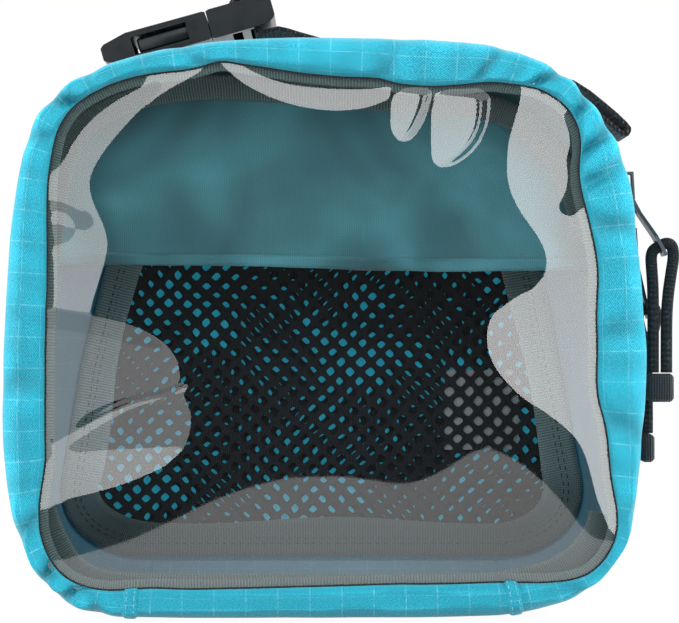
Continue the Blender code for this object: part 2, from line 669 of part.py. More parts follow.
middle_y = BUCKLE_DEPTH - DEPTH / 2
under = -half_h - CLEAR - WEBBING / 2
slot_middle = sum(BAR_SLOT) / 2
LEFT_ANCHOR = -83 * MM
webbing("strap_left", (
    on_buckle(slot_middle, 3 * MM), on_buckle(slot_middle, -2.5 * MM),
    on_buckle(slot_middle - 0.3 * MM, under + 0.6 * MM), on_buckle(1.6 * MM, under - 0.3 * MM),
    lying(LEFT_ANCHOR + 11.5 * MM, BUCKLE_DEPTH, 0.1 * MM), lying(LEFT_ANCHOR + 8 * MM, BUCKLE_DEPTH),
    lying(LEFT_ANCHOR + 4 * MM, BUCKLE_DEPTH, 0.1 * MM), lying(LEFT_ANCHOR, BUCKLE_DEPTH, 0.2 * MM)),
    centre=middle_y)
RIGHT_ANCHOR = 12 * MM
slot_middle = LADDER[1] + LADDER_SLOT / 2
webbing("strap_right", (
    on_buckle(slot_middle, -1.5 * MM), on_buckle(slot_middle, -half_h + 0.6 * MM),
    on_buckle(slot_middle + 1.6 * MM, under - 0.6 * MM), on_buckle(MALE_TO, under - 0.9 * MM),
    on_buckle(MALE_TO + 6 * MM, under - 4.5 * MM), lying(RIGHT_ANCHOR - 6 * MM, BUCKLE_DEPTH, 0.6 * MM),
    lying(RIGHT_ANCHOR, BUCKLE_DEPTH), lying(RIGHT_ANCHOR + 10 * MM, BUCKLE_DEPTH)),
    centre=middle_y)
webbing("strap_keeper", (
    (LADDER[0] + LADDER_SLOT / 2, 0), (LADDER[0] + LADDER_SLOT / 2, half_h - 0.6 * MM),
    (LADDER[0] + LADDER_SLOT + 0.4 * MM, half_h + 1.5 * MM), (LADDER[1] - 0.4 * MM, half_h + 1.5 * MM),
    (LADDER[1] + LADDER_SLOT / 2, half_h - 0.6 * MM), (LADDER[1] + LADDER_SLOT / 2, 0)),
    parent=buckle)

# ---- Webbing grab tab on the right shoulder ----------------------------------------------------
TAB_DEPTH = 47 * MM
TAB_ROUTE = (       # x and z from the corner of the right shoulder, in millimetres
    (-12.5, -0.3), (-3.0, -7.1), (4.4, -13.7), (5.5, -16.0), (3.6, -17.1), (-2.0, -12.6),
    (-8.0, -7.5))
corner_x, corner_z = FRONT_CORNERS[2][:2]
webbing("webbing_tab", [
    lying(corner_x - 32 * MM, TAB_DEPTH, 0.2 * MM), lying(corner_x - 24 * MM, TAB_DEPTH, 0.2 * MM)
] + [(corner_x + x * MM, corner_z + z * MM) for x, z in TAB_ROUTE],
        centre=TAB_DEPTH - DEPTH / 2)
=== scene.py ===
"""A soft turquoise packing cube with a clear front window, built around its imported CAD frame.

Lengths are in millimetres until they reach a mesh. "Depth" runs back from the crest of the
front border, "inset" runs inwards from the outline that the cube shows from the front.
"""

import json
import math
import random

import bmesh
import bpy
import numpy as np
from mathutils import Matrix, Vector


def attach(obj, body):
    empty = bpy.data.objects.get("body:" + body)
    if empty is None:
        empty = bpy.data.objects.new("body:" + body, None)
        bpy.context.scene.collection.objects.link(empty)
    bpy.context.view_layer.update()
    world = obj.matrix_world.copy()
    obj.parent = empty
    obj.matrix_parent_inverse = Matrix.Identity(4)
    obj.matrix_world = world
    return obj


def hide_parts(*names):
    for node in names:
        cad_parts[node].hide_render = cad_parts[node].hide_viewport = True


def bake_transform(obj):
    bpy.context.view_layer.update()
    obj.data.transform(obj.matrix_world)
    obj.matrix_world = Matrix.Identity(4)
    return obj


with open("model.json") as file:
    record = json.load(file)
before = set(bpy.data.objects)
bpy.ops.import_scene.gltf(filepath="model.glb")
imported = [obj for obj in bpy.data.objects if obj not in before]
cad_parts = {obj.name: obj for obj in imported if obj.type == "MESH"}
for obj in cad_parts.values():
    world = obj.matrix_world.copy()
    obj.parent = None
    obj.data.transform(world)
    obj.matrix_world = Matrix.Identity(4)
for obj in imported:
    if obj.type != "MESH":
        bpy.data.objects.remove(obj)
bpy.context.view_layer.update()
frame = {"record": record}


# ---- Studio ---------------------------------------------------------------------------------
# A pale floor that turns up into a backdrop, three softboxes beside and above the camera, two at
# the sides and one overhead. Only reflections show the bright panels behind the camera, and the
# dark gap between them is what the clear window mostly mirrors.
MM = 0.001
EYE = 90.5          # height of the camera


def linear(code):
    """An sRGB hex colour as linear RGBA."""
    parts = [int(code[k:k + 2], 16) / 255 for k in (1, 3, 5)]
    return [*(p / 12.92 if p <= 0.04045 else ((p + 0.055) / 1.055) ** 2.4 for p in parts), 1.0]


def add(tree, kind, settings=None, inputs=None):
    """Adds a node. Settings are its properties; inputs are numbers, colours or linked outputs."""
    node = tree.nodes.new("ShaderNode" + kind)
    for key, value in (settings or {}).items():
        setattr(node, key, value)
    for key, value in (inputs or {}).items():
        if isinstance(value, bpy.types.NodeSocket):
            tree.links.new(value, node.inputs[key])
        else:
            node.inputs[key].default_value = value
    return node


def start_material(name):
    """A new material, its node tree and its Principled shader."""
    made = bpy.data.materials.new(name)
    made.use_nodes = True
    return made, made.node_tree, made.node_tree.nodes["Principled BSDF"]


BEHIND_CAMERA = -0.76   # how far back the reflected panels stand, in metres


def softbox(name, centre, width, height, strength, aim=(0, -0.02, 0.09)):
    """A rectangular lamp whose face shines as brightly as strength says, turned to aim."""
    lamp = bpy.data.lights.new(name, "AREA")
    lamp.shape = "RECTANGLE"
    lamp.size, lamp.size_y = width, height
    lamp.energy = strength * width * height * math.pi
    holder = bpy.data.objects.new(name, lamp)
    bpy.context.scene.collection.objects.link(holder)
    holder.location = centre
    holder.rotation_euler = (Vector(aim) - Vector(centre)).to_track_quat("-Z", "Y").to_euler()
    holder.visible_glossy = False


def tent_wall(name, x, z, strength):
    """A bright panel behind the camera that only reflections show. x and z are its edges."""
    bm = bmesh.new()
    bmesh.ops.create_grid(bm, x_segments=1, y_segments=1, size=0.5,
                          matrix=Matrix.Rotation(math.radians(90), 4, "X"))
    bmesh.ops.scale(bm, vec=(x[1] - x[0], 1, z[1] - z[0]), verts=bm.verts)
    bmesh.ops.translate(bm, vec=(sum(x) / 2, BEHIND_CAMERA, sum(z) / 2), verts=bm.verts)
    mesh = bpy.data.meshes.new(name)
    bm.to_mesh(mesh)
    bm.free()
    panel = bpy.data.objects.new(name, mesh)
    bpy.context.scene.collection.objects.link(panel)
    lit, tree, shader = start_material(name)
    tree.nodes.remove(shader)
    seen = add(tree, "MixShader", None, {
        0: add(tree, "LightPath").outputs["Is Glossy Ray"],
        1: add(tree, "BsdfTransparent").outputs[0],
        2: add(tree, "Emission", None, {"Strength": strength}).outputs[0]})
    tree.links.new(seen.outputs[0], tree.nodes["Material Output"].inputs["Surface"])
    mesh.materials.append(lit)


bpy.context.scene.view_settings.view_transform = "Standard"
softbox("softbox_left", (-0.46, -0.75, 0.44), 0.48, 0.68, 3.3, aim=(-0.46, 0, 0.44))
softbox("softbox_right", (0.46, -0.75, 0.38), 0.48, 0.74, 3.0, aim=(0.46, 0, 0.38))
softbox("softbox_top", (0, -0.75, 0.68), 0.40, 0.62, 2.2, aim=(0, 0, 0.68))
tent_wall("tent_left", (-1.3, -0.2), (0.10, 1.5), 2.9)
tent_wall("tent_low_left", (-1.3, -0.2), (-0.35, 0.10), 1.4)
tent_wall("tent_right", (0.2, 1.3), (-0.35, 1.5), 4.1)
tent_wall("tent_top", (-0.2, 0.2), (0.36, 1.5), 3.6)
softbox("side_left", (-0.9, -0.05, 0.40), 0.7, 0.8, 8.0)
softbox("side_right", (0.9, -0.05, 0.40), 0.7, 0.8, 7.5)
softbox("overhead", (0, 0.15, 1.15), 1.0, 0.8, 2.7)

world = bpy.data.worlds.new("studio")
bpy.context.scene.world = world
world.use_nodes = True
sky = world.node_tree
sky.nodes.clear()
paths = add(sky, "LightPath")
lighting, mirrored, backdrop = (
    add(sky, "Background", None, {"Color": linear("#ffffff"), "Strength": strength}).outputs[0]
    for strength in (0.24, 0.04, 1.0))
dim = add(sky, "MixShader", None, {0: paths.outputs["Is Glossy Ray"], 1: lighting, 2: mirrored})
shown = add(sky, "MixShader", None, {0: paths.outputs["Is Camera Ray"], 1: dim.outputs[0],
                                     2: backdrop})
add(sky, "OutputWorld", None, {"Surface": shown.outputs[0]})

camera_data = bpy.data.cameras.new("camera")
camera_data.lens = 102.3
camera_data.sensor_width = 36
camera_data.shift_x = 0.0243
camera_data.shift_y = 0.0228
camera_data.clip_start = 0.01
camera = bpy.data.objects.new("camera", camera_data)
bpy.context.scene.collection.objects.link(camera)
camera.location = (0, -0.635, EYE * MM)
camera.rotation_euler = (math.radians(90), 0, 0)
bpy.context.scene.camera = camera

bm = bmesh.new()
bmesh.ops.create_grid(bm, x_segments=1, y_segments=1, size=1)
bmesh.ops.scale(bm, vec=(1.6, 0.95, 1), verts=bm.verts)
bmesh.ops.translate(bm, vec=(0, 0.50, 0), verts=bm.verts)
far_edge = [edge for edge in bm.edges if all(vert.co.y > 1 for vert in edge.verts)]
upright = bmesh.ops.extrude_edge_only(bm, edges=far_edge)["geom"]
bmesh.ops.translate(bm, vec=(0, 0, 1.8),
                    verts=[item for item in upright if isinstance(item, bmesh.types.BMVert)])
floor_mesh = bpy.data.meshes.new("floor")
bm.to_mesh(floor_mesh)
bm.free()
floor = bpy.data.objects.new("floor", floor_mesh)
bpy.context.scene.collection.objects.link(floor)
# Matt paper. The camera and reflections see it white, and only its shading keeps the shadow.
paper, tree, shader = start_material("white_paper")
shader.inputs["Base Color"].default_value = linear("#bdbdbd")
shader.inputs["Roughness"].default_value = 0.9
shader.inputs["Specular IOR Level"].default_value = 0.1
paths = add(tree, "LightPath")
glow = add(tree, "Emission", None, {"Color": linear("#ffffff"), "Strength": 1.12})
share = add(tree, "Math", {"operation": "MULTIPLY"}, {0: paths.outputs["Is Camera Ray"], 1: 0.85})
share = add(tree, "Math", {"operation": "ADD"}, {0: paths.outputs["Is Glossy Ray"],
                                                 1: share.outputs[0]})
mixed = add(tree, "MixShader", None, {0: share.outputs[0], 1: shader.outputs[0],
                                      2: glow.outputs[0]})
tree.links.new(mixed.outputs[0], tree.nodes["Material Output"].inputs["Surface"])
floor_mesh.materials.append(paper)


# ---- Padded border of the lid ---------------------------------------------------------------
# A roll of coated ripstop nylon round the window, padded with a foam strip, turned in at the
# window seam and sewn to the zip tape behind. It puckers where it goes round the corners.
CUBE_DEPTH = 90     # from the border's crest to the back panel


def outline_of(corners, steps=24, count=900):
    """Evenly spaced points round a polygon of (x, z, radius) corners, each with its outward
    normal. It starts at the bottom left corner and goes round by the right."""
    places, normals = [], []
    for k, (x, z, radius) in enumerate(corners):
        here = Vector((x, z))
        before = (here - Vector(corners[k - 1][:2])).normalized()
        after = (Vector(corners[(k + 1) % len(corners)][:2]) - here).normalized()
        start = math.atan2(before.y, before.x) - math.pi / 2
        turn = before.angle(after)
        centre = here - before * radius * math.tan(turn / 2) - Vector(
            (math.cos(start), math.sin(start))) * radius
        for step in range(steps + 1):
            angle = start + turn * step / steps
            normals.append((math.cos(angle), math.sin(angle)))
            places.append((centre.x + normals[-1][0] * radius, centre.y + normals[-1][1] * radius))
    places, normals = np.array(places + places[:1]), np.array(normals + normals[:1])
    run = np.concatenate([[0], np.cumsum(np.linalg.norm(np.diff(places, axis=0), axis=1))])
    even = np.linspace(0, run[-1], count + 1)
    return [np.interp(even, run, column) for column in (*places.T, *normals.T)] + [run[-1]]


def ring_point(outline, t, inset):
    """x and z at shares t of the way round an outline, inset from it."""
    x, z, nx, nz, _ = outline
    shares = np.linspace(0, 1, len(x))
    t = np.asarray(t) % 1.0
    x, z, nx, nz = (np.interp(t, shares, column) for column in (x, z, nx, nz))
    return x - nx * inset, z - nz * inset


def share_near(outline, x, z):
    """How far round an outline the point nearest to (x, z) is."""
    gaps = np.hypot(outline[0] - x, outline[1] - z)
    return float(np.argmin(gaps)) / (len(outline[0]) - 1)


def smooth_line(points, spread, period=None):
    """A function through (place, value) points whose corners are rounded over spread."""
    places, values = (np.array(column, float) for column in zip(*sorted(points)))
    offsets = np.linspace(-2, 2, 9) * spread
    weights = np.exp(-0.5 * (offsets / spread) ** 2)
    weights /= weights.sum()
    return lambda place: sum(
        weight * np.interp(np.asarray(place) + offset, places, values, period=period)
        for offset, weight in zip(offsets, weights))


def ripple(x, z, scale, seed):
    """Smooth random waves over a surface, from -1 to 1, with a wavelength near scale."""
    chance = random.Random(seed)
    total = 0
    for _ in range(7):
        angle, phase = chance.uniform(0, math.tau), chance.uniform(0, math.tau)
        reach = chance.uniform(0.7, 1.6) * math.tau / scale
        total = total + np.sin(x * math.cos(angle) * reach + z * math.sin(angle) * reach + phase)
    return total / 4


def surface(columns, rows, place, size, closed=False, shadow=None):
    """A sheet of quads laid out by place(u, v), u and v from 0 to 1, whose faces look away from
    the middle of the cube. place gives x, depth and z. The UV map is in millimetres: size is its
    length and width. shadow(u, v) is kept as the attribute that paints shade into the hollows
    of folds and light on their ridges."""
    bm = bmesh.new()
    bmesh.ops.create_grid(bm, x_segments=columns, y_segments=rows, size=0.5)
    flat = np.array([vert.co[:2] for vert in bm.verts]) + 0.5
    laid = np.column_stack(place(flat[:, 0], flat[:, 1]))
    cloth = bm.loops.layers.uv.new("cloth")
    for face in bm.faces:
        for loop in face.loops:
            loop[cloth].uv = flat[loop.vert.index] * size
    for vert, (x, depth, z) in zip(bm.verts, laid):
        vert.co = (x * MM, (depth - CUBE_DEPTH / 2) * MM, z * MM)
    if shadow:
        hollow = bm.verts.layers.float.new("fold_shadow")
        for vert, value in zip(bm.verts, shadow(flat[:, 0], flat[:, 1])):
            vert[hollow] = value
    if closed:
        bmesh.ops.remove_doubles(bm, verts=bm.verts, dist=1e-6)
    bm.normal_update()
    middle = Vector((0, 0, EYE)) * MM
    outward = sum(face.normal.dot(face.calc_center_median() - middle) * face.calc_area()
                  for face in bm.faces)
    if outward < 0:
        bmesh.ops.reverse_faces(bm, faces=bm.faces)
    return bm


def piece(name, bm, materials, smooth=40):
    """Makes a mesh object, smooth shaded up to an angle."""
    mesh = bpy.data.meshes.new(name)
    bm.to_mesh(mesh)
    bm.free()
    mesh.shade_smooth()
    mesh.set_sharp_from_angle(angle=math.radians(smooth))
    for material in materials:
        mesh.materials.append(material)
    made = bpy.data.objects.new(name, mesh)
    bpy.context.scene.collection.objects.link(made)
    return made


def thicken(made, thickness, lining=0, offset=-1):
    """Gives a sheet its thickness. Lining is the number of the material on its inner side."""
    solid = made.modifiers.new("thickness", "SOLIDIFY")
    solid.thickness = thickness * MM
    solid.offset = offset
    solid.use_even_offset = True
    solid.material_offset = lining
    return made


def outline_through(points, spread=3.0, count=900):
    """Evenly spaced points with outward normals round a closed line through (x, z) points, whose
    corners are rounded over spread."""
    line = np.array([*points, points[0]], float)
    run = np.concatenate([[0], np.cumsum(np.linalg.norm(np.diff(line, axis=0), axis=1))])
    even = np.linspace(0, run[-1], count + 1)
    reach = np.arange(-12, 13)
    step = run[-1] / count
    weights = np.exp(-0.5 * (reach * step / spread) ** 2)
    weights /= weights.sum()
    x, z = (sum(weight * np.roll(np.interp(even[:-1], run, column), shift)
                for weight, shift in zip(weights, reach)) for column in line.T)
    x, z = np.append(x, x[0]), np.append(z, z[0])
    tangent = np.array([np.roll(c[:-1], -1) - np.roll(c[:-1], 1) for c in (x, z)])
    tangent /= np.linalg.norm(tangent, axis=0)
    return [x, z, np.append(tangent[1], tangent[1][0]), np.append(-tangent[0], -tangent[0][0]),
            run[-1]]


EYE_PLACE = (323, 327)      # where the camera's axis meets the photograph, in pixels
TO_CREST = 590              # mm from the camera to the border's crest
PIXELS_PER_MM = 3.215       # at 600 mm from the camera


def seen_at(px, py, depth):
    """x and z in millimetres of a place in the photograph, for something at a given depth."""
    scale = (TO_CREST + depth) / 600 / PIXELS_PER_MM
    return (px - EYE_PLACE[0]) * scale, EYE + (EYE_PLACE[1] - py) * scale


# The border's outer edge in the photograph, from the bottom left seam round by the right
SILHOUETTE = (
    (140, 616), (180, 617), (260, 617), (340, 617), (420, 617), (500, 615), (540, 607), (568, 598),
    (594, 582), (612, 562), (625, 541), (631, 520), (634, 500), (636, 478), (639, 455), (641, 435),
    (644, 400), (645, 370), (645, 340), (641, 300), (638, 262), (634, 222), (632, 200), (628, 180),
    (621, 158), (613, 138), (601, 119), (586, 100), (573, 85), (557, 73), (538, 62), (519, 55),
    (500, 49), (480, 45), (455, 43), (420, 41), (380, 40), (340, 39), (300, 39), (260, 40),
    (220, 43), (190, 47), (160, 52), (138, 57), (118, 63), (98, 71), (78, 81), (60, 93), (47, 106),
    (36, 122), (29, 141), (23, 162), (19, 182), (16, 202), (13, 224), (11, 245), (9, 275), (7, 310),
    (5, 350), (4, 400), (4, 438), (6, 462), (8, 484), (12, 506), (19, 532), (31, 558), (44, 580),
    (62, 597), (84, 608), (110, 614))
SILHOUETTE_DEPTH = 11
FRONT = outline_through([seen_at(px, py, SILHOUETTE_DEPTH) for px, py in SILHOUETTE])
LOOP = FRONT[-1]
SEAM_X = 59.6       # the two bottom seams
SEAM_LEFT = share_near(FRONT, -SEAM_X, 0)
SEAM_RIGHT = share_near(FRONT, SEAM_X, 0)


# The window's edge in the photograph, from the bottom left round by the left and top
WINDOW_EDGE = (
    (150, 586), (128, 588), (105, 588), (88, 585), (72, 578), (58, 566), (48, 550), (42, 530),
    (41, 510), (43, 480), (46, 460), (45, 430), (45, 380), (45, 345), (46, 320), (48, 290), (48, 240),
    (48, 200), (49, 180), (52, 160), (56, 140), (64, 121), (76, 106), (92, 95), (118, 83),
    (140, 77), (165, 73), (190, 71), (210, 66), (221, 61), (240, 65), (260, 68), (300, 74),
    (340, 78), (380, 79), (400, 86), (430, 88), (460, 86), (500, 84), (520, 87), (538, 90),
    (556, 100), (570, 112), (579, 130), (579, 160), (578, 178), (582, 200), (588, 220), (593, 240),
    (597, 262), (598, 282), (596, 320), (596, 380), (598, 402), (604, 420), (607, 440), (608, 460),
    (610, 480), (614, 500), (616, 520), (612, 541), (601, 560), (584, 574), (560, 580), (530, 582),
    (500, 581), (460, 583), (400, 583), (340, 585), (260, 587), (190, 588))
SEAM_DEPTH = 5      # of the window seam, behind the border's crest
window_corners = [seen_at(px, py, SEAM_DEPTH) for px, py in WINDOW_EDGE]
border_width = smooth_line(
    [(share_near(FRONT, x, z), float(np.hypot(FRONT[0] - x, FRONT[1] - z).min()))
     for x, z in window_corners], 0.004, period=1.0)

# Creases across the roll: near which x and z, slant, half width and depth, all in mm
CREASES = [(share_near(FRONT, x, z), slant, width, depth) for x, z, slant, width, depth in (
    (-80, 162, 7, 3.2, 2.0), (-73, 167, -5, 2.6, 1.1), (-90, 150, 4, 2.5, 0.7),
    (68, 168, -9, 2.4, 1.7), (50, 173, -10, 2.4, 1.0), (82, 160, 6, 2.4, 1.5),
    (89, 150, 5, 2.8, 1.8), (93, 139, 5, 3.0, 1.2), (95, 122, -5, 4.0, 0.8),
    (-97, 28, 8, 3.4, 1.2), (-90, 12, 7, 3.0, 2.0), (-80, 4, -8, 3.0, 2.0), (-72, 1, 6, 2.4, 1.2),
    (100, 60, -6, 4.0, 1.0), (98, 30, 5, 4.0, 0.7), (80, 5, 8, 3.0, 0.8), (-40, 177, 6, 3.0, 0.8),
    (-99, 75, 5, 4.5, 0.6), (20, 179, -8, 3.4, 0.7), (101, 90, 6, 5.0, 0.6))]


def creased(t, across):
    """How deep the creases are at shares t, across the roll from 0 at the window seam to 1."""
    sunk = 0
    for share, slant, width, depth in CREASES:
        away = ((np.asarray(t) - share + 0.5) % 1.0 - 0.5) * LOOP - slant * (across - 0.4)
        ridges = 0.35 * np.exp(-((np.abs(away) - 2.2 * width) / width) ** 2)
        sunk = sunk + depth * (np.exp(-(away / width) ** 2) - ridges)
    return sunk


# Two edges of the reflections in the window, as places in the photograph: the height of the one
# near the floor over x, and x of the one at the lower left over height
floor_wave = smooth_line([seen_at(px, py, SEAM_DEPTH) for px, py in (
    (60, 560), (130, 540), (170, 522), (215, 500), (250, 488), (285, 479), (340, 477), (372, 481),
    (400, 486), (425, 481), (450, 468), (468, 454), (485, 447), (505, 455), (530, 471), (560, 500),
    (590, 540))], 3.0)

low_left_wave = smooth_line([seen_at(px, py, SEAM_DEPTH)[::-1] for px, py in (
    (-20, 300), (40, 311), (90, 318), (125, 324), (150, 333), (168, 346), (179, 362), (181, 378),
    (183, 392), (189, 402), (194, 415), (193, 432), (186, 450), (168, 466), (140, 478), (108, 488),
    (80, 494), (40, 502), (0, 515), (-40, 530))], 0.8)

# Patches of the window that lean towards the lights, as places in the photograph. Each runs on
# past the window's edge; a second patch inside it is where the lean stops again.
RIGHT_LEAN = (
    (522, 40), (522, 90), (520, 104), (515, 120), (509, 140), (508, 160), (509, 182), (515, 200),
    (524, 217), (540, 241), (546, 254), (547, 270), (536, 281), (520, 291), (505, 303), (492, 314),
    (486, 332), (487, 350), (492, 365), (503, 381), (524, 401), (548, 416), (568, 431), (581, 446),
    (590, 470), (596, 496), (607, 514), (616, 530), (760, 560), (760, 40))
RIGHT_STOP = (
    (532, 40), (532, 98), (542, 108), (560, 121), (571, 141), (564, 160), (569, 184), (556, 206),
    (560, 217), (580, 232), (593, 248), (603, 270), (607, 300), (611, 372), (615, 420), (622, 475),
    (630, 530), (760, 560), (760, 40))
LEFT_LEAN = (
    (212, 30), (212, 68), (192, 80), (170, 92), (150, 108), (128, 126), (112, 142), (98, 160),
    (87, 180), (90, 197), (96, 210), (104, 226), (108, 245), (104, 262), (97, 282), (91, 300),
    (86, 320), (80, 360), (74, 420), (66, 480), (60, 510), (-120, 520), (-120, 30))
LEFT_STOP = (
    (150, 30), (150, 80), (125, 95), (104, 112), (88, 130), (76, 150), (68, 172), (62, 195),
    (58, 220), (58, 280), (57, 330), (57, 500), (-120, 510), (-120, 30))
TOP_LEAN = (
    (200, 20), (212, 52), (226, 70), (250, 88), (280, 101), (310, 109), (340, 112), (370, 108),
    (390, 99), (400, 90), (404, 60), (404, 20))
TOP_STOP = (
    (215, 20), (230, 60), (250, 75), (275, 86), (300, 91), (350, 94), (386, 91), (398, 80),
    (400, 20))
# Two hanging dents that lean to the right as a whole, with a steep right edge
DENTS = (((393, 92), (412, 90), (430, 90), (427, 106), (420, 124), (408, 141), (397, 139),
          (389, 124), (389, 106)),
         ((431, 94), (460, 92), (487, 92), (486, 118), (480, 138), (467, 154), (449, 166),
          (433, 165), (430, 140), (430, 112)))
DENT_SLOPE, DENT_EDGE = 0.16, 1.6

# Narrow folds in the film, as places in the photograph
GROOVES = (((184, 386), (168, 393), (140, 400), (112, 411), (84, 426), (56, 442)),
           ((48, 212), (62, 212), (72, 218), (77, 229), (72, 240), (60, 247), (48, 249)))


def inside_patch(places, x, z):
    """How far points lie inside a patch whose corners are rounded off, negative outside."""
    corners = np.array([seen_at(px, py, SEAM_DEPTH) for px, py in places])
    for _ in range(2):
        after = np.roll(corners, -1, axis=0)
        corners = np.stack((0.75 * corners + 0.25 * after, 0.25 * corners + 0.75 * after),
                           axis=1).reshape(-1, 2)
    near = np.full(x.shape, np.inf)
    within = np.zeros(x.shape, bool)
    for (ax, az), (bx, bz) in zip(corners, np.roll(corners, -1, axis=0)):
        along = np.clip(((x - ax) * (bx - ax) + (z - az) * (bz - az))
                        / ((bx - ax) ** 2 + (bz - az) ** 2), 0, 1)
        near = np.minimum(near, np.hypot(x - ax - along * (bx - ax), z - az - along * (bz - az)))
        if az != bz:
            within ^= ((az > z) != (bz > z)) & (x < ax + (z - az) * (bx - ax) / (bz - az))
    return np.where(within, near, -near)


def soft_ramp(distance, width):
    """0 below a boundary, rising evenly past it, rounded over width."""
    return width * np.logaddexp(0, distance / width)


TO_CAMERA = TO_CREST + SEAM_DEPTH
FLOOR_AHEAD = 400       # mm from the window to the floor's front edge
FILM_REST = 1.6         # depth of the film where it is flat
SIDE_SLOPE, SIDE_FADE = 0.13, 45        # how steeply the sides lean, and within how many mm less
LOW_FADE = 25
TOP_SLOPE, TOP_FADE = 0.2, 200
LOW_START = 68          # height below which the film leans to the floor
WAVE_DEPTH, WAVE_LENGTH = 0.12, 45
GROOVE_DEPTH, GROOVE_WIDTH = 0.2, 1.1
GRID_STEP = 0.5
grid_x = np.arange(-112, 112.1, GRID_STEP)
grid_z = np.arange(-6, 194.1, GRID_STEP)


def lean(patch, stop, slope, fade, x, z):
    """Depth that a patch adds: it leans by slope at first and less further in."""
    inner = soft_ramp(inside_patch(patch, x, z), 0.7)
    return slope * (fade * (1 - np.exp(-inner / fade))
                    - 0.8 * soft_ramp(inside_patch(stop, x, z), 0.6))


def rounded(points, steps=8):
    """A smooth curve through points."""
    knots = np.array([points[0], *points, points[-1]], float)
    found = []
    for k in range(len(points) - 1):
        a, b, c, d = knots[k:k + 4]
        t = np.linspace(0, 1, steps, endpoint=False)[:, None]
        found.append(0.5 * (2 * b + (c - a) * t + (2 * a - 5 * b + 4 * c - d) * t ** 2
                            + (3 * b - a - 3 * c + d) * t ** 3))
    return np.concatenate([*found, knots[-1:]])


def groove(places, x, z):
    """1 on a line through places, falling to 0 within a few millimetres."""
    points = rounded([seen_at(px, py, SEAM_DEPTH) for px, py in places], 14)
    away = np.min([np.hypot(x - px, z - pz) for px, pz in points], axis=0)
    return np.exp(-(away / GROOVE_WIDTH) ** 2)


def dent(places, x, z):
    """Depth of a dent that leans evenly to the right."""
    start = min(seen_at(px, py, SEAM_DEPTH)[0] for px, py in places)
    return np.minimum(DENT_SLOPE * np.maximum(x - start, 0),
                      DENT_EDGE * np.maximum(inside_patch(places, x, z), 0))


def film_grid():
    """Depth of the film on a fine grid of places, smoothed a little. Towards the floor it leans
    just as much as makes the edge of the mirrored floor follow floor_wave."""
    x, z = np.meshgrid(grid_x, grid_z)
    low = floor_wave(x)
    tilt = ((low - EYE) / TO_CAMERA + low / FLOOR_AHEAD) / 2
    past_left = soft_ramp(low_left_wave(z) - x, 0.7)
    waves = WAVE_DEPTH * ripple(x, z, WAVE_LENGTH, 5) * np.clip((z - 62) / 30, 0, 1)
    depth = (FILM_REST + lean(RIGHT_LEAN, RIGHT_STOP, SIDE_SLOPE, SIDE_FADE, x, z)
             + lean(LEFT_LEAN, LEFT_STOP, SIDE_SLOPE, SIDE_FADE, x, z)
             + lean(TOP_LEAN, TOP_STOP, TOP_SLOPE, TOP_FADE, x, z)
             + tilt * soft_ramp(LOW_START - z, 4)
             + SIDE_SLOPE * LOW_FADE * (1 - np.exp(-past_left / LOW_FADE)) + waves
             + GROOVE_DEPTH * sum(groove(line, x, z) for line in GROOVES)
             + sum(dent(places, x, z) for places in DENTS))
    weights = np.exp(-0.5 * (np.arange(-4, 5) * GRID_STEP / 0.5) ** 2)
    weights /= weights.sum()
    for axis in (0, 1):
        depth = sum(weight * np.roll(depth, shift, axis) for weight, shift in
                    zip(weights, range(-4, 5)))
    return depth


film_depths = film_grid()


def film_depth(x, z):
    """Depth of the clear film. Its gentle slopes turn to the lights in the places where the
    photograph shows their pale reflections."""
    x, z = np.broadcast_arrays(x, z)
    column = np.clip((x - grid_x[0]) / GRID_STEP, 0, len(grid_x) - 1.001)
    row = np.clip((z - grid_z[0]) / GRID_STEP, 0, len(grid_z) - 1.001)
    i, j = column.astype(int), row.astype(int)
    a, b = column - i, row - j
    return ((film_depths[j, i] * (1 - a) + film_depths[j, i + 1] * a) * (1 - b)
            + (film_depths[j + 1, i] * (1 - a) + film_depths[j + 1, i + 1] * a) * b)


# Across the roll, from the window seam over the crest to the zip: share of the width and depth
ROLL = ((1.0, 0.0), (0.96, -1.9), (0.87, -3.9), (0.71, -5.4), (0.53, -5.9), (0.35, -5.2),
        (0.19, -3.6), (0.07, -1.0), (0.0, 2.8), (-0.02, 7.0), (0.0, 11.0), (0.04, 14.6))
roll_steps = np.linspace(0, 1, len(ROLL))
roll_share = smooth_line(list(zip(roll_steps, [share for share, _ in ROLL])), 0.02)
roll_depth = smooth_line(list(zip(roll_steps, [depth for _, depth in ROLL])), 0.02)


ROLL_HEART = 5.2        # depth of the middle of the roll
ROLL_FRONT = -1.2       # the roll bulges no further forward than this
CREASE_PUSH = 2.8       # how much deeper than wide the creases press in
WAVE_HEIGHT, GATHER_HEIGHT = 0.4, 0.4


def roll_place(t, v):
    """The border's surface: t round the loop and v from the window seam to the zip. Creases press
    it in over its crest, long waves run along it and short gathers along the window seam."""
    width = border_width(t)
    seam_x, seam_z = ring_point(FRONT, t, width)
    seam_depth = film_depth(seam_x, seam_z) - 0.3
    sunk = creased(t, v * 1.3) * np.sin(np.clip(v * 1.15, 0, 1) * math.pi) ** 0.7
    x, z = ring_point(FRONT, t, width * roll_share(v) + 0.4 * sunk * np.clip(v * 3 - 1, 0, 1))
    fade = np.clip(1 - v / 0.72, 0, 1)
    press = CREASE_PUSH * np.clip(1.5 - v * 2.0, 0, 1) * np.clip(v * 7, 0, 1)
    wave = WAVE_HEIGHT * ripple(x, z, 26, 3) * np.sin(v * math.pi)
    near_seam = np.exp(-((v - 0.2) / 0.16) ** 2)
    gather = GATHER_HEIGHT * ripple(np.asarray(t) * LOOP, v * 6, 13, 8) * near_seam
    depth = ROLL_HEART + roll_depth(v) + (seam_depth - ROLL_HEART) * fade + sunk * press
    return x, np.maximum(depth + gather + wave, ROLL_FRONT), z
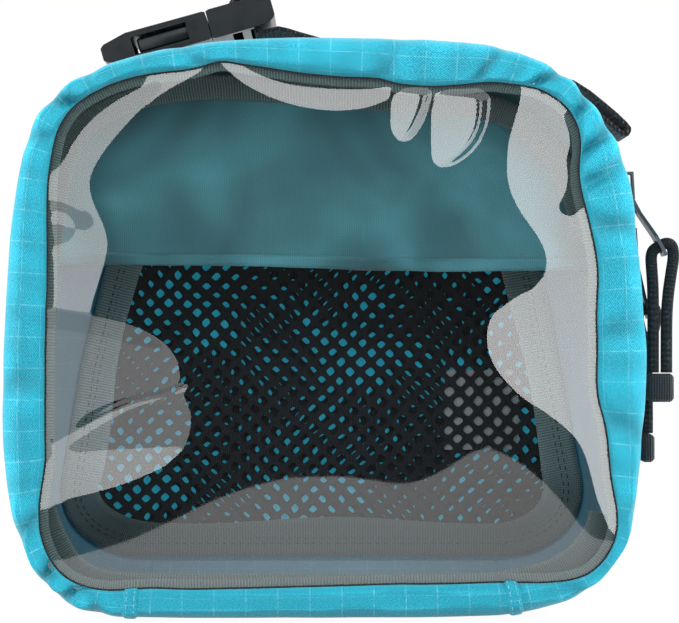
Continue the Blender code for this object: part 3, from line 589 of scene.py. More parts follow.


# Painted light on the ridges of folds and painted shade in their hollows
RIDGE_SHADE, HOLLOW_SHADE = 1.28, 0.54      # what the colour is multiplied by at -1 and at 1.6


def fold_shade(tree, colour):
    """Paints shade into a colour in the hollows of folds and paints light on their ridges, by the
    surface's fold_shadow. Without one it leaves the colour as it is."""
    hollow = add(tree, "Attribute", {"attribute_name": "fold_shadow"})
    shade = add(tree, "MapRange", {"clamp": False}, {
        "Value": hollow.outputs["Fac"], "From Min": -1.0, "From Max": 1.6,
        "To Min": RIDGE_SHADE, "To Max": HOLLOW_SHADE})
    return add(tree, "Mix", {"data_type": "RGBA", "blend_type": "MULTIPLY"}, {
        0: 1.0, 6: colour, 7: shade.outputs[0]}).outputs[2]


RIPSTOP_SQUARE = 9.8    # mm between the heavier threads
# Threads are 0.25 mm apart; they are drawn 0.5 mm apart so that the render shows them
DRAWN_WEAVE = 1.0       # mm in which the drawn weave repeats


def ripstop_material(name, colour, dark, grid, coated=0.0):
    """Ripstop nylon: tight plain weave with a heavier pale thread about every 10 mm both ways,
    which gives it a grid, a soft sheen at its edges and a fine sparkle. Its coated side is
    smoother."""
    made, tree, shader = start_material(name)
    place = add(tree, "UVMap", {"uv_map": "cloth"})
    axes = add(tree, "SeparateXYZ", None, {0: place.outputs[0]})
    broken = add(tree, "TexNoise", None, {"Vector": place.outputs[0], "Scale": 0.35, "Detail": 3.0})
    lines = []
    for axis in (0, 1):
        cell = add(tree, "Math", {"operation": "DIVIDE"}, {0: axes.outputs[axis],
                                                           1: RIPSTOP_SQUARE})
        part = add(tree, "Math", {"operation": "FRACT"}, {0: cell.outputs[0]})
        away = add(tree, "Math", {"operation": "SUBTRACT"}, {0: part.outputs[0], 1: 0.5})
        away = add(tree, "Math", {"operation": "ABSOLUTE"}, {0: away.outputs[0]})
        lines.append(add(tree, "MapRange", {"interpolation_type": "SMOOTHSTEP"}, {
            "Value": away.outputs[0], "From Min": 0.012, "From Max": 0.032,
            "To Min": 1.0, "To Max": 0.0}))
    both = add(tree, "Math", {"operation": "MAXIMUM"},
               {0: lines[0].outputs[0], 1: lines[1].outputs[0]})
    strength = add(tree, "MapRange", None, {"Value": broken.outputs[0], "From Min": 0.38,
                                            "From Max": 0.62, "To Min": 0.05, "To Max": 0.30})
    thread = add(tree, "Math", {"operation": "MULTIPLY"}, {0: both.outputs[0],
                                                           1: strength.outputs[0]})
    waves = []
    for axis in (0, 1):
        turn = add(tree, "Math", {"operation": "MULTIPLY"}, {0: axes.outputs[axis],
                                                             1: math.tau / DRAWN_WEAVE})
        waves.append(add(tree, "Math", {"operation": "SINE"}, {0: turn.outputs[0]}))
    weave = add(tree, "Math", {"operation": "MULTIPLY"}, {0: waves[0].outputs[0],
                                                          1: waves[1].outputs[0]})
    speck = add(tree, "TexNoise", None, {"Vector": place.outputs[0], "Scale": 1.6, "Detail": 2.0})
    grain = add(tree, "Math", {"operation": "MULTIPLY_ADD"}, {
        0: weave.outputs[0], 1: 0.24, 2: speck.outputs[0]})
    tone = add(tree, "MapRange", None, {"Value": grain.outputs[0], "From Min": 0.25,
                                        "From Max": 0.75})
    cloud = add(tree, "TexNoise", None, {"Vector": place.outputs[0], "Scale": 0.03, "Detail": 2.0})
    base = add(tree, "Mix", {"data_type": "RGBA"}, {0: tone.outputs[0], 6: linear(dark),
                                                    7: linear(colour)})
    cloudy = add(tree, "MapRange", None, {"Value": cloud.outputs[0], "From Min": 0.35,
                                          "From Max": 0.65, "To Min": 0.94, "To Max": 1.05})
    varied = add(tree, "Mix", {"data_type": "RGBA", "blend_type": "MULTIPLY"}, {
        0: 1.0, 6: base.outputs[2], 7: cloudy.outputs[0]})
    threaded = add(tree, "Mix", {"data_type": "RGBA"}, {0: thread.outputs[0], 6: varied.outputs[2],
                                                        7: linear(grid)})
    height = add(tree, "Math", {"operation": "MULTIPLY_ADD"}, {0: both.outputs[0], 1: 0.8,
                                                               2: weave.outputs[0]})
    bump = add(tree, "Bump", None, {"Height": height.outputs[0], "Strength": 0.25,
                                    "Distance": 0.00012})
    # Painted shade in the hollows of folds and painted light on their ridges
    tree.links.new(fold_shade(tree, threaded.outputs[2]), shader.inputs["Base Color"])
    tree.links.new(bump.outputs[0], shader.inputs["Normal"])
    shader.inputs["Roughness"].default_value = 0.55 - 0.15 * coated
    shader.inputs["Specular IOR Level"].default_value = 0.45
    shader.inputs["Sheen Weight"].default_value = 0.25
    shader.inputs["Sheen Roughness"].default_value = 0.4
    shader.inputs["Sheen Tint"].default_value = linear("#b8ecf5")
    return made


# Turquoise outside, where the cloth is dyed deep and even
ripstop = ripstop_material("coated_ripstop_nylon", "#20b4ca", "#046c87", "#93d8e4")
# The coated back of the same nylon, which shows pale and speckled inside the cube
ripstop_back = ripstop_material("ripstop_nylon_back", "#6f9bae", "#4a768d", "#9bbecb", coated=1.0)

ROLL_GIRTH = 36         # mm of cloth across the roll
seam_span = (SEAM_LEFT - SEAM_RIGHT) % 1.0


def side_roll(u, v):
    """The roll from the right bottom seam up, over and down to the left one."""
    return roll_place(SEAM_RIGHT + u * seam_span, v)


def side_shadow(u, v):
    """Painted shade and light for the roll's creases, from -1 on a ridge to 1.6 in a deep fold."""
    deep = creased(SEAM_RIGHT + u * seam_span, v * 1.3) + 0.5 * ripple(u * LOOP, v * 30, 14, 31)
    return np.clip(deep * np.sin(np.clip(v * 1.1 + 0.08, 0, 1) * math.pi), -1, 1.6)


# The roll's creases get painted shade in their hollows and painted light on their ridges
border = piece("front_border_roll",
               surface(620, 30, side_roll, (LOOP * seam_span, ROLL_GIRTH), shadow=side_shadow),
               (ripstop, ripstop_back))
thicken(border, 1.1, lining=1)
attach(border, "lid")
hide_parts("front_border")

# ---- Bottom panel and the border's bottom strip ---------------------------------------------
# One length of the same ripstop: it comes down from the window seam over the bottom roll and
# runs back as the cube's floor.
BACK_FLAT = outline_of(((-99, 0, 32), (99, 0, 32), (67, 168, 22), (20, 171, 150),
                        (-20, 171, 150), (-64, 166, 22), (-86, 78, 150)))
GUSSET_DEPTH = 34.5     # where the side band starts
BACK_DEPTH = 88.1       # where side band and floor end
FLAT_DEPTH = 64.8       # the floor rises behind this
BACK_LIFT = 8.5         # by this much at the back
LIFT_HEIGHT = 60        # the rise fades out up to this height
HEART = 80              # height that front and back outlines are matched round


def lifted(z, share=1.0):
    """Heights with the rise of the floor at the back added."""
    return z + BACK_LIFT * share * np.clip(1 - z / LIFT_HEIGHT, 0, 1) ** 2


BACK = [BACK_FLAT[0], lifted(BACK_FLAT[1]), *BACK_FLAT[2:]]
back_order = np.argsort(np.arctan2(BACK_FLAT[1][:-1] - HEART, BACK_FLAT[0][:-1]))
back_angles = np.arctan2(BACK_FLAT[1][:-1] - HEART, BACK_FLAT[0][:-1])[back_order]


def back_point(x, z):
    """The point of the back outline in the same direction as (x, z) is from the middle."""
    angle = np.arctan2(z - HEART, x)
    return (np.interp(angle, back_angles, column[:-1][back_order], period=math.tau)
            for column in BACK_FLAT[:2])


def wall_place(t, depth, inset=0.0):
    """A point on the cube's side band or floor, t round the loop."""
    share = np.clip((depth - GUSSET_DEPTH) / (BACK_DEPTH - GUSSET_DEPTH), 0, 1)
    front_x, front_z = ring_point(FRONT, t, inset)
    back_x, back_z = back_point(front_x, front_z)
    x = front_x + (back_x - front_x) * share
    z = front_z + (back_z - front_z) * share
    rise = np.clip((depth - FLAT_DEPTH) / (BACK_DEPTH - FLAT_DEPTH), 0, 1) ** 1.5
    return x, lifted(z, rise)


ROLL_PART = 0.3         # share of the cloth's length that lies on the roll
ROLL_END = 0.62         # how far round the roll it goes


def bottom_place(u, v):
    """u from the right seam to the left one, v from the window seam to the back seam."""
    t = SEAM_RIGHT - u * ((SEAM_RIGHT - SEAM_LEFT) % 1.0)
    x, depth, z = roll_place(t, np.clip(v / ROLL_PART, 0, 1) * ROLL_END)
    on_floor = np.clip((v - ROLL_PART) / (1 - ROLL_PART), 0, 1)
    floor_depth = np.where(v > ROLL_PART, depth + on_floor * (BACK_DEPTH - depth), depth)
    wall_x, wall_z = wall_place(t, floor_depth)
    x = np.where(v > ROLL_PART, wall_x, x)
    z = np.where(v > ROLL_PART, wall_z * on_floor + z * (1 - on_floor), z)
    return x, floor_depth, np.maximum(z, 0.0)


bottom = piece("bottom_panel_cloth", surface(160, 90, bottom_place, (119, 118)),
               (ripstop, ripstop_back))
thicken(bottom, 1.1, lining=1)
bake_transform(bottom)
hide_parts("hinge_panel", "border_bottom")

# ---- Side band ------------------------------------------------------------------------------
# The cube's two sides and top, one band of ripstop. Its coated back shows inside, pale and
# speckled, and it hangs in shallow folds because nothing fills the cube.
def band_place(u, v):
    """u round the cube from the right bottom seam to the left one, v from front to back."""
    t = SEAM_RIGHT + u * seam_span
    depth = GUSSET_DEPTH + v * (BACK_DEPTH - GUSSET_DEPTH)
    x, z = wall_place(t, depth)
    loose = np.sin(np.clip(u, 0, 1) * math.pi) ** 0.3 * np.sin(v * math.pi)
    sunk = (0.6 + ripple(x, z + depth * 0.6, 38, 11) * 0.9) * loose
    far = np.hypot(x, z - EYE)
    return x - x / far * sunk, depth, z - (z - EYE) / far * sunk


side_band = piece("side_band_cloth", surface(420, 40, band_place, (LOOP * seam_span, 54)),
                  (ripstop, ripstop_back))
thicken(side_band, 1.0, lining=1)
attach(side_band, "base")
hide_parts("side_gusset")


# ---- Back panel -----------------------------------------------------------------------------
# The back is a flat piece of ripstop sewn to the band, a little proud in the middle, with a thin
# roll of piping in its seam.
def dish_place(outline, depth, swell, inset, flat_z=85):
    """A function for surface() that fills an outline from its edge to its middle."""
    def place(u, v):
        edge_x, edge_z = ring_point(outline, u, inset)
        x, z = edge_x * (1 - v), flat_z + (edge_z - flat_z) * (1 - v)
        return x, depth + swell * np.sin(np.clip(v * 1.6, 0, 1) * math.pi / 2), z
    return place


def circle(radius, sides=8):
    """A round section for swept()."""
    return [(radius * math.cos(math.tau * k / sides), radius * math.sin(math.tau * k / sides))
            for k in range(sides)]


def swept(path, section, up=(0, 0, 1), ring=False):
    """A closed section of (side, up) pairs swept along (x, depth, z) points, capped at its ends."""
    path, section = np.asarray(path, float), np.asarray(section, float)
    run = np.gradient(path, axis=0)
    if ring:
        run[0] = run[-1] = path[1] - path[-2]
    run /= np.linalg.norm(run, axis=1)[:, None]
    side = np.cross(run, up)
    side /= np.linalg.norm(side, axis=1)[:, None]
    lift = np.cross(side, run)
    length = np.linalg.norm(np.diff(path, axis=0), axis=1).sum()
    girth = np.linalg.norm(section - np.roll(section, 1, axis=0), axis=1).sum()

    def place(u, v):
        i = np.rint(u * (len(path) - 1)).astype(int)
        j = np.rint(v * len(section)).astype(int) % len(section)
        return (path[i] + side[i] * section[j, :1] + lift[i] * section[j, 1:]).T

    bm = surface(len(path) - 1, len(section), place, (length, girth), closed=True)
    if not ring:
        ends = [edge for edge in bm.edges if edge.is_boundary]
        bmesh.ops.holes_fill(bm, edges=ends, sides=0)
    if bm.calc_volume(signed=True) < 0:
        bmesh.ops.reverse_faces(bm, faces=bm.faces)
    return bm


def plain_uv(bm):
    """Lays the UV map flat over x and z, in millimetres."""
    cloth = bm.loops.layers.uv["cloth"]
    for face in bm.faces:
        for loop in face.loops:
            loop[cloth].uv = (loop.vert.co.x / MM, loop.vert.co.z / MM)
    return bm


back_sheet = plain_uv(surface(240, 24, dish_place(BACK, 88.6, 1.2, 0.3), (1, 1), closed=True))
# Painted light: lighter, glowing ripstop for light through the thin cloth, seen in the mesh holes
ripstop_with_glow = ripstop_material("ripstop_nylon_with_glow", "#3cc4e0", "#2bb0cd", "#9fe2ee")
glow_shader = ripstop_with_glow.node_tree.nodes["Principled BSDF"]
# A painted glow on the cloth
glow_shader.inputs["Emission Color"].default_value = linear("#1fb0cf")
glow_shader.inputs["Emission Strength"].default_value = 0.3
back_cover = piece("back_panel_cloth", back_sheet, (ripstop, ripstop_with_glow))
thicken(back_cover, 0.9, lining=1)
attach(back_cover, "base")
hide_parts("back_panel")

loop_shares = np.linspace(0, 1, 901)
edge_x, edge_z = ring_point(BACK, loop_shares, 0.4)
back_pipe = piece("back_seam_piping", swept(np.column_stack(
    (edge_x, np.full_like(edge_x, 88.0), edge_z)), circle(1.1), up=(0, 1, 0), ring=True),
    (ripstop,))
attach(back_pipe, "base")


# ---- Window ---------------------------------------------------------------------------------
# Clear flexible film, about half a millimetre thick and glossy, sewn into the border's inner
# edge. It mirrors the studio in pale curved shapes where it leans, and is clear elsewhere, with a
# faint haze.
film, tree, shader = start_material("clear_flexible_film")
tree.nodes.remove(shader)
FILM_IOR = 1.9      # stands for both faces of the film
side = add(tree, "MapRange", None, {"Value": add(tree, "NewGeometry").outputs["Backfacing"],
                                    "To Min": FILM_IOR, "To Max": 1 / FILM_IOR})
facing = add(tree, "Fresnel", None, {"IOR": side.outputs[0]})
clear = add(tree, "BsdfTransparent", None, {"Color": linear("#fafcfc")})
dust = add(tree, "TexNoise", None, {"Vector": add(tree, "UVMap", {"uv_map": "cloth"}).outputs[0],
                                    "Scale": 0.5, "Detail": 4.0})
smear = add(tree, "MapRange", None, {"Value": dust.outputs[0], "From Min": 0.35, "From Max": 0.75,
                                     "To Min": 0.015, "To Max": 0.035})
mirror = add(tree, "BsdfAnisotropic", None, {"Color": linear("#ffffff"),
                                             "Roughness": smear.outputs[0]})
mixed = add(tree, "MixShader", None, {0: facing.outputs[0], 1: clear.outputs[0],
                                      2: mirror.outputs[0]})
tree.links.new(mixed.outputs[0], tree.nodes["Material Output"].inputs["Surface"])

FILM_HEART = 88     # height of the middle of the window's rings
SEAM_ALLOWANCE = 1.6


def film_place(u, v):
    """u round the window, v from under the border to the middle."""
    edge_x, edge_z = ring_point(FRONT, u, border_width(u) - SEAM_ALLOWANCE)
    x, z = edge_x * (1 - v), FILM_HEART + (edge_z - FILM_HEART) * (1 - v)
    return x, film_depth(x, z), z


window = piece("window_film", plain_uv(surface(560, 130, film_place, (1, 1), closed=True)), (film,),
               smooth=180)
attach(window, "lid")
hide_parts("window_panel")


# ---- Seam tapes round the window ------------------------------------------------------------
# A ribbed grosgrain tape binds the raw edges of film and border behind the window seam, and a
# thin dark cord of piping fills the seam.
TAPE_WIDTH = 10     # mm across a ribbed tape in its UV map


def woven_material(name, colour, dark, rib, cross=0.7, depth=0.4, fleck=0.0, sheen=0.2,
                   roughness=0.75, painted_rumple_shade=0.0):
    """Woven tape or cloth, with ribs every rib millimetres of u and threads every cross of v, and
    with soft random patches of painted shade and painted light, of the given strength, that
    stand for the shading of its rumpling."""
    made, tree, shader = start_material(name)
    place = add(tree, "UVMap", {"uv_map": "cloth"})
    axes = add(tree, "SeparateXYZ", None, {0: place.outputs[0]})
    wobble = add(tree, "TexNoise", None, {"Vector": place.outputs[0], "Scale": 0.12, "Detail": 2.0})
    waves = []
    for axis, pitch in ((0, rib), (1, cross)):
        moved = add(tree, "Math", {"operation": "MULTIPLY_ADD"}, {
            0: wobble.outputs[0], 1: 0.6 * rib, 2: axes.outputs[axis]})
        turn = add(tree, "Math", {"operation": "MULTIPLY"}, {0: moved.outputs[0],
                                                             1: math.tau / pitch})
        waves.append(add(tree, "Math", {"operation": "SINE"}, {0: turn.outputs[0]}))
    height = add(tree, "Math", {"operation": "MULTIPLY_ADD"}, {0: waves[1].outputs[0], 1: 0.3,
                                                               2: waves[0].outputs[0]})
    fuzz = add(tree, "TexNoise", None, {"Vector": place.outputs[0], "Scale": 2.2, "Detail": 3.0})
    level = add(tree, "Math", {"operation": "MULTIPLY_ADD"}, {0: height.outputs[0], 1: 0.28,
                                                              2: fuzz.outputs[0]})
    tone = add(tree, "MapRange", None, {"Value": level.outputs[0], "From Min": 0.15,
                                        "From Max": 0.85})
    base = add(tree, "Mix", {"data_type": "RGBA"}, {0: tone.outputs[0], 6: linear(dark),
                                                    7: linear(colour)})
    specks = add(tree, "TexVoronoi", {"feature": "F1"}, {"Vector": place.outputs[0], "Scale": 0.9})
    spot = add(tree, "MapRange", None, {"Value": specks.outputs["Distance"], "From Min": 0.16,
                                        "From Max": 0.3, "To Min": fleck, "To Max": 0.0})
    flecked = add(tree, "Mix", {"data_type": "RGBA"}, {0: spot.outputs[0], 6: base.outputs[2],
                                                       7: linear("#8d979b")})
    bump = add(tree, "Bump", None, {"Height": height.outputs[0], "Strength": depth,
                                    "Distance": 0.0003})
    # Painted shade and painted light in soft random patches, for the shading of the rumpling
    cloud = add(tree, "TexNoise", None, {
        "Vector": place.outputs[0], "Scale": 0.022, "Detail": 2.0, "Distortion": 0.6})
    shade = add(tree, "MapRange", None, {"Value": cloud.outputs[0], "From Min": 0.36,
                                         "From Max": 0.64, "To Min": 1 - painted_rumple_shade,
                                         "To Max": 1 + 0.4 * painted_rumple_shade})
    rumple_shaded_colour = add(tree, "Mix", {"data_type": "RGBA", "blend_type": "MULTIPLY"}, {
        0: 1.0, 6: flecked.outputs[2], 7: shade.outputs[0]})
    # Painted shade in the hollows of folds and painted light on their ridges
    tree.links.new(fold_shade(tree, rumple_shaded_colour.outputs[2]), shader.inputs["Base Color"])
    tree.links.new(bump.outputs[0], shader.inputs["Normal"])
    shader.inputs["Roughness"].default_value = roughness
    shader.inputs["Specular IOR Level"].default_value = 0.3
    shader.inputs["Sheen Weight"].default_value = sheen
    shader.inputs["Sheen Roughness"].default_value = 0.5
    return made


def ribbon(name, outline, span, insets, depths, materials, thickness, count=600, shadow=None):
    """A tape laid along an outline. span is where it starts and ends, in shares of the way round,
    and insets and depths are those of its two edges."""
    start, end = span
    closed = end - start >= 1

    def place(u, v):
        t = start + u * (end - start)
        near, far = (inset(t) if callable(inset) else inset for inset in insets)
        x, z = ring_point(outline, t, near + v * (far - near))
        deep = [depth(x, z) if callable(depth) else depth for depth in depths]
        return x, deep[0] + v * (deep[1] - deep[0]), z

    cloth = surface(count, 6, place, (outline[-1] * (end - start), TAPE_WIDTH), closed,
                    shadow=shadow)
    return thicken(piece(name, cloth, materials), thickness)


# Polyester grosgrain, woven with ribs across that catch the light as fine lines
grosgrain = woven_material("grey_green_grosgrain", "#637676", "#324142", 0.95, cross=0.6)
# Dyed cotton cord, matt
piping_cloth = woven_material("dark_piping", "#232c2f", "#0c1113", 1.2, sheen=0.1)

window_tape = ribbon("window_seam_tape", FRONT, (0, 1),
                     (lambda t: border_width(t) - 2.5, lambda t: border_width(t) + 2.9),
                     (lambda x, z: film_depth(x, z) + 0.9, lambda x, z: film_depth(x, z) + 1.0),
                     (grosgrain,), 0.5, count=900)
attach(window_tape, "lid")
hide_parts("window_binding")

pipe_x, pipe_z = ring_point(FRONT, loop_shares, border_width(loop_shares) + 0.15)
piping = piece("window_piping", swept(np.column_stack(
    (pipe_x, film_depth(pipe_x, pipe_z) - 0.1, pipe_z)), circle(0.35), up=(0, 1, 0), ring=True),
    (piping_cloth,))
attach(piping, "lid")

# ---- Bottom seams ---------------------------------------------------------------------------
# The border's ends are folded over the bottom strip and top-stitched with a double pale row.
# Polyester sewing thread, with a slight sheen
thread = woven_material("pale_thread", "#9fd6e0", "#5fa5b5", 0.4, cross=0.4, sheen=0.3)


def stitches(name, path, material, pitch=3.0, length=2.2, radius=0.22):
    """Separate stitches along a path of (x, depth, z) points."""
    path = np.asarray(path, float)
    run = np.concatenate([[0], np.cumsum(np.linalg.norm(np.diff(path, axis=0), axis=1))])
    bm = bmesh.new()
    bm.loops.layers.uv.new("cloth")
    for start in np.arange(pitch / 2, run[-1] - pitch / 2, pitch):
        ends = [Vector([np.interp(start + shift, run, column) for column in path.T])
                for shift in (-length / 2, length / 2)]
        middle = (ends[0] + ends[1]) / 2 - Vector((0, CUBE_DEPTH / 2, 0))
        turn = (ends[1] - ends[0]).to_track_quat("X", "Z").to_matrix().to_4x4()
        shape = Matrix.Diagonal((length / 2, radius, radius, 1))
        bmesh.ops.create_icosphere(bm, subdivisions=1, radius=1, calc_uvs=True,
                                   matrix=Matrix.Scale(MM, 4) @ Matrix.Translation(middle)
                                   @ turn @ shape)
    return piece(name, bm, (material,), smooth=180)


def off_roll(t, v, lift):
    """A point lifted off the roll's surface."""
    x, depth, z = roll_place(t, v)
    core_x, core_z = ring_point(FRONT, t, border_width(t) * 0.5)
    away = np.stack([x - core_x, depth - 5.0, z - core_z])
    away = away / np.linalg.norm(away, axis=0) * lift
    return x + away[0], depth + away[1], z + away[2]


FOLD_WIDTH = 4.6
for side, seam in (("left", SEAM_LEFT), ("right", SEAM_RIGHT)):
    def seam_place(u, v, seam=seam):
        """The fold over the seam, raised between its edges."""
        rise = 0.85 * np.clip(1 - np.abs(2 * u - 1) ** 5, 0, 1) + 0.05
        return off_roll(seam + (u - 0.5) * FOLD_WIDTH / LOOP, v * 0.6, rise)

    fold = piece(f"bottom_seam_{side}", surface(8, 40, seam_place, (FOLD_WIDTH, 24)), (ripstop,),
                 smooth=60)
    thicken(fold, 0.4)
    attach(fold, "lid")
    rows = np.linspace(0.02, 0.58, 60)
    for row, shift in enumerate((-1.2, 1.2)):
        line = off_roll(np.full(60, seam + shift / LOOP), rows, 0.95)
        sewn = stitches(f"seam_stitch_{side}_{row}", np.column_stack(line), thread, pitch=2.4,
                        length=1.7, radius=0.17)
        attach(sewn, "lid")

# ---- Zip ------------------------------------------------------------------------------------
# A nylon coil zip runs from one bottom seam up, over and down to the other: dark blue woven tape,
# folded in behind the roll, and two rows of coil that mesh.
# Tightly woven polyester, matt
zip_cloth = woven_material("blue_zip_tape", "#17566e", "#0b3344", 0.8, cross=0.55)
# Extruded nylon, smooth and half glossy, a little uneven in its dye
coil_nylon, tree, shader = start_material("blue_nylon_coil")
grain = add(tree, "TexNoise", None, {
    "Vector": add(tree, "TexCoord").outputs["Object"], "Scale": 900.0})
tint = add(tree, "Mix", {"data_type": "RGBA"}, {0: grain.outputs[0], 6: linear("#0e4256"),
                                                7: linear("#1d6a85")})
tree.links.new(tint.outputs[2], shader.inputs["Base Color"])
shader.inputs["Roughness"].default_value = 0.38

ZIP_SPAN = (SEAM_RIGHT, SEAM_RIGHT + seam_span)
low_right = share_near(FRONT, 80, 8)


def slack(t):
    """The tape hangs below the border near the bottom right corner."""
    return 0.7 - 2.4 * np.exp(-((np.asarray(t) % 1 - low_right) / 0.02) ** 2)


lid_tape = ribbon("lid_zip_tape_cloth", FRONT, ZIP_SPAN, (slack, 2.7), (18.6, 24.6), (zip_cloth,),
                  0.6)
base_tape = ribbon("base_zip_tape_cloth", FRONT, ZIP_SPAN, (2.7, slack), (29.4, 35.4),
                   (zip_cloth,), 0.6)
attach(lid_tape, "lid")
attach(base_tape, "base")
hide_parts("lid_zip_tape")
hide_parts("base_zip_tape")

TOOTH_PITCH = 1.5
COIL_INSET, COIL_HEIGHT, COIL_REACH, COIL_THREAD = 3.1, 0.95, 1.15, 0.34
teeth = int(LOOP * seam_span / TOOTH_PITCH)
for name, body, depth, shift in (("lid_zip_coil", "lid", 25.55, 0.0),
                                 ("base_zip_coil", "base", 28.45, 0.5)):
    turn = np.linspace(0, teeth, teeth * 8 + 1)
    t = SEAM_RIGHT + turn / teeth * seam_span
    angle = (turn + shift) * math.tau
    x, z = ring_point(FRONT, t, COIL_INSET + COIL_HEIGHT * np.cos(angle))
    helix = np.column_stack((x, depth + COIL_REACH * np.sin(angle), z))
    coil = piece(f"{name}_teeth", swept(helix, circle(COIL_THREAD, 5), up=(0, 1, 0.013)),
                 (coil_nylon,))
    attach(coil, body)
    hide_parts(name)

# ---- Mesh pocket on the back ----------------------------------------------------------------
# Two layers of black knitted mesh with round holes, one turned against the other, so that the
# turquoise back shows through only where their holes meet. A plain label lies between them.
# Knitted polyester, matt and nearly black
knit = woven_material("black_knitted_mesh", "#151c21", "#06090c", 0.7, cross=0.7, depth=0.4,
                      sheen=0.05)


MESH_SPAN = 210         # mm, more than the widest outline
MESH_HEART = 85         # height of its middle
MESH_EDGE = 6.0         # how far inside the back's outline the mesh ends
STRAY, STRAY_LENGTH = 0.7, 26       # mm by which the knit is pulled about, and over how far


def mesh_layer(name, outline, depth, pitch, hole, angle, shift, swell):
    """A sheet with rounded holes on a square grid of the given pitch, turned by angle degrees and
    pulled a little out of line."""
    cells = int(MESH_SPAN / pitch)
    bm = bmesh.new()
    bmesh.ops.create_grid(bm, x_segments=cells, y_segments=cells, size=0.5 * cells * pitch)
    bmesh.ops.inset_individual(bm, faces=bm.faces[:], thickness=(pitch - hole) / 2,
                               use_even_offset=True)
    holes = [face for face in bm.faces if face.calc_area() < (0.9 * pitch) ** 2
             and len(face.verts) == 4 and abs(face.calc_area() - hole ** 2) < 0.05 * hole ** 2]
    corners = {vert for face in holes for vert in face.verts}
    bmesh.ops.bevel(bm, geom=list(corners), affect="VERTICES", offset=hole * 0.27, segments=2,
                    profile=0.5)
    bmesh.ops.delete(bm, geom=[face for face in bm.faces
                               if len(face.verts) >= 8 and face.calc_area() > 0.5 * hole ** 2
                               and abs((face.calc_center_median().x / pitch + cells / 2) % 1 - 0.5)
                               < 0.1], context="FACES")
    bmesh.ops.rotate(bm, verts=bm.verts, matrix=Matrix.Rotation(math.radians(angle), 3, "Z"))
    bmesh.ops.translate(bm, verts=bm.verts, vec=(shift[0], shift[1] + MESH_HEART, 0))
    reach = outline_reach(outline, MESH_EDGE)
    gone = [face for face in bm.faces if not reach(*face.calc_center_median()[:2])]
    bmesh.ops.delete(bm, geom=gone, context="FACES")
    cloth = bm.loops.layers.uv.new("cloth")
    for face in bm.faces:
        for loop in face.loops:
            loop[cloth].uv = loop.vert.co.xy
    across, up = (np.array([vert.co[axis] for vert in bm.verts]) for axis in (0, 1))
    pulled = [STRAY * ripple(across, up, STRAY_LENGTH, seed)
              for seed in (int(angle), int(angle) + 7)]
    for vert, stray_x, stray_z in zip(bm.verts, *pulled):
        x, z = vert.co.x + stray_x, vert.co.y + stray_z
        bow = math.cos(x / 90 * math.pi / 2) * math.sin(min(max(z - 10, 0) / 150, 1) * math.pi)
        vert.co = (x * MM, (depth + swell * bow - CUBE_DEPTH / 2) * MM, z * MM)
    bm.normal_update()
    if sum(face.normal.y for face in bm.faces) > 0:
        bmesh.ops.reverse_faces(bm, faces=bm.faces)
    return piece(name, bm, (knit,), smooth=180)


def outline_reach(outline, inset):
    """A test for whether a point lies inside an outline by at least inset."""
    x, z = ring_point(outline, np.linspace(0, 1, 361)[:-1], inset)
    angle = np.arctan2(z - MESH_HEART, x)
    order = np.argsort(angle)
    angle, far = angle[order], np.hypot(x, z - MESH_HEART)[order]
    return lambda px, pz: math.hypot(px, pz - MESH_HEART) < np.interp(
        math.atan2(pz - MESH_HEART, px), angle, far, period=math.tau)


rear_mesh = mesh_layer("rear_mesh_cloth", BACK, 87.2, 4.62, 2.80, 41.0, (0.7, 0.4), 0.6)
front_mesh = mesh_layer("front_mesh_cloth", BACK, 84.9, 4.80, 2.90, 45.0, (0, 0), 0.6)
for made, node in ((rear_mesh, "back_mesh"), (front_mesh, "pocket_mesh")):
    thicken(made, 0.45, offset=0)
    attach(made, "base")
    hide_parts(node)


def refined(node, name, material, bevel, segments=2, rides=True):
    """A rounded copy of a CAD node, merged to flat faces, with a UV map in millimetres. It rides
    on the node's body, unless rides is False."""
    bm = bmesh.new()
    bm.from_mesh(bpy.data.objects[node].data)
    bmesh.ops.remove_doubles(bm, verts=bm.verts, dist=1e-6)
    bmesh.ops.dissolve_limit(bm, angle_limit=math.radians(1), verts=bm.verts, edges=bm.edges)
    cloth = bm.loops.layers.uv.new("cloth")
    for face in bm.faces:
        steep = max(range(3), key=lambda axis: abs(face.normal[axis]))
        across, up = ((2, 1), (0, 2), (0, 1))[steep]
        for loop in face.loops:
            loop[cloth].uv = (loop.vert.co[across] / MM, loop.vert.co[up] / MM)
    made = piece(name, bm, (material,), smooth=30)
    soft = made.modifiers.new("edges", "BEVEL")
    soft.width = bevel * MM
    soft.segments = segments
    soft.limit_method = "ANGLE"
    soft.angle_limit = math.radians(35)
    soft.harden_normals = True
    if rides:
        bodies = frame["record"]["behaviour"]["bodies"]
        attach(made, next(name for name, nodes in bodies.items() if node in nodes))
    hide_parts(node)
    return made


# Satin-woven polyester, smooth and pale
label_cloth = woven_material("grey_woven_label", "#a3a7aa", "#7b7f82", 0.5, cross=0.5, depth=0.2)
label = refined("blank_label", "plain_label", label_cloth, 0.15)

# ---- Back seam tape -------------------------------------------------------------------------
# Wide ribbed tape binds the seam of back, mesh and side band, sewn down with a double row.
# The same grosgrain as round the window, painted paler for the side light on the back tape
side_lit_grosgrain = woven_material("side_lit_grosgrain", "#8da5a5", "#52676a", 0.95, cross=0.6)


def low_shadow(u, v):
    """Painted shade on the bottom stretch of the tape, which lies in the shade of the lid's roll."""
    return 2.4 * np.clip((44 - ring_point(BACK, u, 8)[1]) / 26, 0, 1)


back_tape = ribbon("back_seam_tape", BACK, (0, 1), (2.0, lambda t: 14.6 + 1.2 * np.sin(t * 40)),
                   (84.6, 82.6), (side_lit_grosgrain,), 0.7, count=700, shadow=low_shadow)
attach(back_tape, "base")
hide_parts("back_binding")
